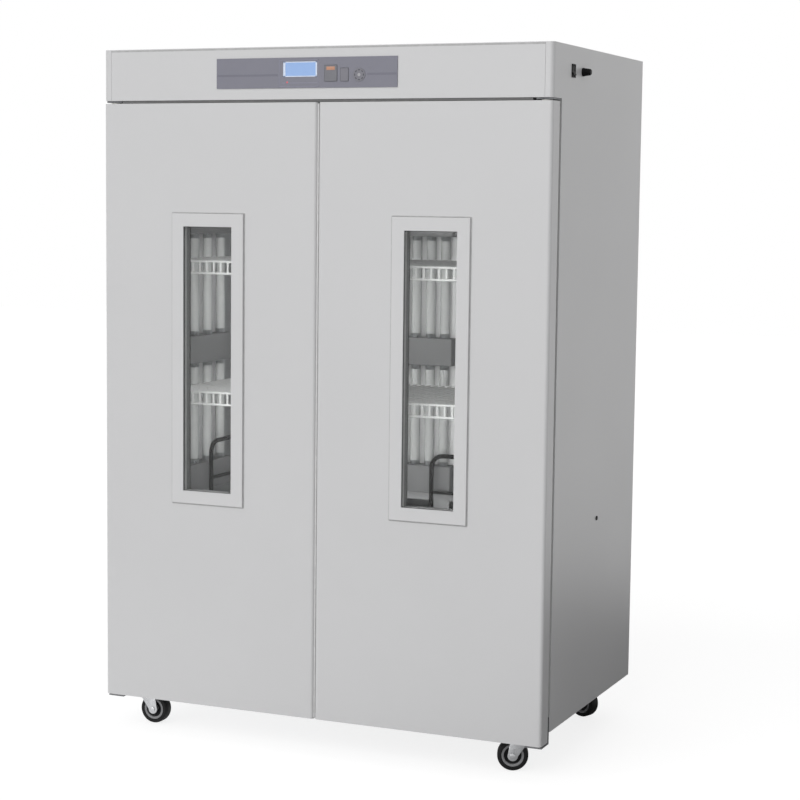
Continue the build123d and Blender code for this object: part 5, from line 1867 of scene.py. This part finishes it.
# The studio


@dataclass(frozen=True)
class Viewpoint:
    """The photograph's camera, as fitted to the cabinet's edges."""

    place: Point = (2.0741, -4.6631, 1.3654)
    yaw: float = 23.2498
    pitch: float = 5.8676
    roll: float = 0.6715
    lens: float = 89.56

    def build(self) -> None:
        """Makes the camera and gives it to the scene."""
        yaw, pitch, roll = (math.radians(angle) for angle in (self.yaw, self.pitch, self.roll))
        ahead = Vector((-math.sin(yaw) * math.cos(pitch), math.cos(yaw) * math.cos(pitch), -math.sin(pitch)))
        level = Vector((math.cos(yaw), math.sin(yaw), 0.0))
        up = level.cross(ahead)
        right = math.cos(roll) * level + math.sin(roll) * up
        top = -math.sin(roll) * level + math.cos(roll) * up
        matrix = Matrix((right, top, -ahead)).transposed().to_4x4()
        matrix.translation = Vector(self.place)
        data = bpy.data.cameras.new("viewpoint")
        data.lens, data.sensor_width = self.lens, 36.0
        camera = bpy.data.objects.new("viewpoint", data)
        camera.matrix_world = matrix
        bpy.context.scene.collection.objects.link(camera)
        bpy.context.scene.camera = camera


@dataclass(frozen=True)
class Studio:
    """A pale floor, a white surround and soft lamps."""

    surround: float = 1.0
    fill: float = 0.42
    key: float = 1.5
    key_spread: float = math.radians(60)
    floor_size: float = 30.0
    floor_share: float = 0.6
    floor_glow: float = 1.35
    inside_power: float = 1.04
    left_gain: float = 2.05
    inside_spread: float = math.radians(85)
    apron_power: float = 0.55
    inside_x: float = 0.27
    inside_z: float = 0.92
    inside_depth: float = -0.24
    apron_depth: float = -0.272
    inside_width: float = 0.36
    inside_height: float = 1.1
    key_aim: Point = (0.3, 0.86, -0.5)
    # Where the floor turns near-black for all but camera rays: painted shade and reflection on the cabinet's
    # right side.
    dark_middle: Point = (1.3, 0.6, 0.0)
    dark_near: float = 0.8
    dark_far: float = 2.1
    dark_share: float = 0.95

    def build(self) -> None:
        """Builds the world, the floor and the lamps."""
        self.world()
        self.floor()
        sun = bpy.data.lights.new("key", "SUN")
        sun.energy, sun.angle = self.key, self.key_spread
        lamp = bpy.data.objects.new("key", sun)
        lamp.rotation_euler = Vector(self.key_aim).to_track_quat("-Z", "Y").to_euler()
        bpy.context.scene.collection.objects.link(lamp)
        for sign in (-1, 1):
            self.inside(sign)

    def inside(self, sign: int) -> None:
        """Hangs two soft lamps behind a window, the weak one for the shelves' fronts."""
        bank_power = self.inside_power * (self.left_gain if sign < 0 else 1.0)
        for depth, power, spread in ((self.inside_depth, bank_power, self.inside_spread),
                                     (self.apron_depth, self.apron_power, math.pi)):
            data = bpy.data.lights.new("inside", "AREA")
            data.shape, data.size, data.size_y = "RECTANGLE", self.inside_width, self.inside_height
            data.energy, data.spread = power, spread
            lamp = bpy.data.objects.new("inside", data)
            lamp.matrix_world = frame_on((sign * self.inside_x, depth, self.inside_z), FORWARDS, RIGHTWARDS)
            lamp.visible_camera = False
            lamp.visible_glossy = False
            bpy.context.scene.collection.objects.link(lamp)

    @staticmethod
    def seen(nodes: Any, links: Any) -> Any:
        """Gives 1 for rays that see the surround by sight, in gloss or through glass."""
        path = nodes.new("ShaderNodeLightPath")
        total = path.outputs["Is Camera Ray"]
        for name in ("Is Glossy Ray", "Is Transmission Ray"):
            add = nodes.new("ShaderNodeMath")
            add.operation, add.use_clamp = "ADD", True
            links.new(total, add.inputs[0])
            links.new(path.outputs[name], add.inputs[1])
            total = add.outputs[0]
        return total

    def world(self) -> None:
        """Sets a white surround that lights the object gently."""
        world = bpy.data.worlds.new("surround")
        bpy.context.scene.world = world
        world.use_nodes = True
        nodes, links = world.node_tree.nodes, world.node_tree.links
        background = nodes["Background"]
        background.inputs["Color"].default_value = (1.0, 1.0, 1.0, 1.0)
        level = nodes.new("ShaderNodeMapRange")
        level.inputs["To Min"].default_value = self.fill
        level.inputs["To Max"].default_value = self.surround
        links.new(self.seen(nodes, links), level.inputs["Value"])
        links.new(level.outputs["Result"], background.inputs["Strength"])

    def floor(self) -> None:
        """Lays a pale floor that keeps the object's shadow; near the right side it turns near-black for all
        but camera rays, which paints shade and a dark reflection low on that side.
        """
        half = self.floor_size / 2
        mesh = bpy.data.meshes.new("floor")
        corners = [(-half, -half, 0), (half, -half, 0), (half, half, 0), (-half, half, 0)]
        mesh.from_pydata(corners, [], [(0, 1, 2, 3)])
        floor = bpy.data.objects.new("floor", mesh)
        bpy.context.scene.collection.objects.link(floor)
        bench = Bench("floor")
        distance = bench.nodes.new("ShaderNodeVectorMath")
        distance.operation = "DISTANCE"
        distance.inputs[1].default_value = self.dark_middle
        bench.links.new(bench.place, distance.inputs[0])
        # Painted shade: a near-black patch that the camera never sees darkens the bounce and reflection on
        # the cabinet's right side.
        near = bench.spread(distance.outputs["Value"], self.dark_share, 0.0, self.dark_near, self.dark_far)
        path = bench.nodes.new("ShaderNodeLightPath")
        unseen = self.sum_of(bench, "SUBTRACT", 1.0, path.outputs["Is Camera Ray"])
        dark = self.sum_of(bench, "MULTIPLY", near, unseen)
        pale = bench.blend(bench.noise(2.0), (0.79, 0.79, 0.79, 1.0), (0.81, 0.81, 0.81, 1.0))
        bench.drive("Base Color", bench.blend(dark, pale, (0.03, 0.03, 0.03, 1.0)))
        bench.fix(Roughness=0.7)
        light = bench.nodes.new("ShaderNodeEmission")
        light.inputs["Color"].default_value = (1.0, 1.0, 1.0, 1.0)
        light.inputs["Strength"].default_value = self.floor_glow
        full = bench.spread(self.seen(bench.nodes, bench.links), 0.0, self.floor_share)
        share = self.sum_of(bench, "MULTIPLY", full, self.sum_of(bench, "SUBTRACT", 1.0, dark))
        bench.cover(share, light.outputs[0])
        mesh.materials.append(bench.material)

    @staticmethod
    def sum_of(bench: Bench, operation: str, first: Any, second: Any) -> Any:
        """Gives the result of a sum on two sockets or numbers of a material."""
        node = bench.nodes.new("ShaderNodeMath")
        node.operation = operation
        for index, value in enumerate((first, second)):
            if isinstance(value, float):
                node.inputs[index].default_value = value
            else:
                bench.links.new(value, node.inputs[index])
        return node.outputs[0]


def main() -> None:
    """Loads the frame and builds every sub-assembly."""
    logging.basicConfig(level=logging.INFO, format="%(name)s: %(message)s")
    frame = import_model()
    bpy.context.scene.view_settings.view_transform = "Standard"
    parts: list[Any] = [
        Cabinet(frame), Header(frame), SideFittings(frame), Door(frame, Side.LEFT), Door(frame, Side.RIGHT),
        Chamber(frame), Shelves("lower"), Shelves("upper"), LampBanks(), Heaters(), MachineBay(frame),
        Fan(frame, "condenser_fan", 1.0), Fan(frame, "circulation_fan", -1.0), Mountings(frame),
    ]
    parts += [Castor(frame, name) for name in ("front_left", "front_right", "back_left", "back_right")]
    for part in parts:
        part.build()
        log.info("built %s", type(part).__name__)
    Viewpoint().build()
    Studio().build()


if __name__ == "__main__":
    main()
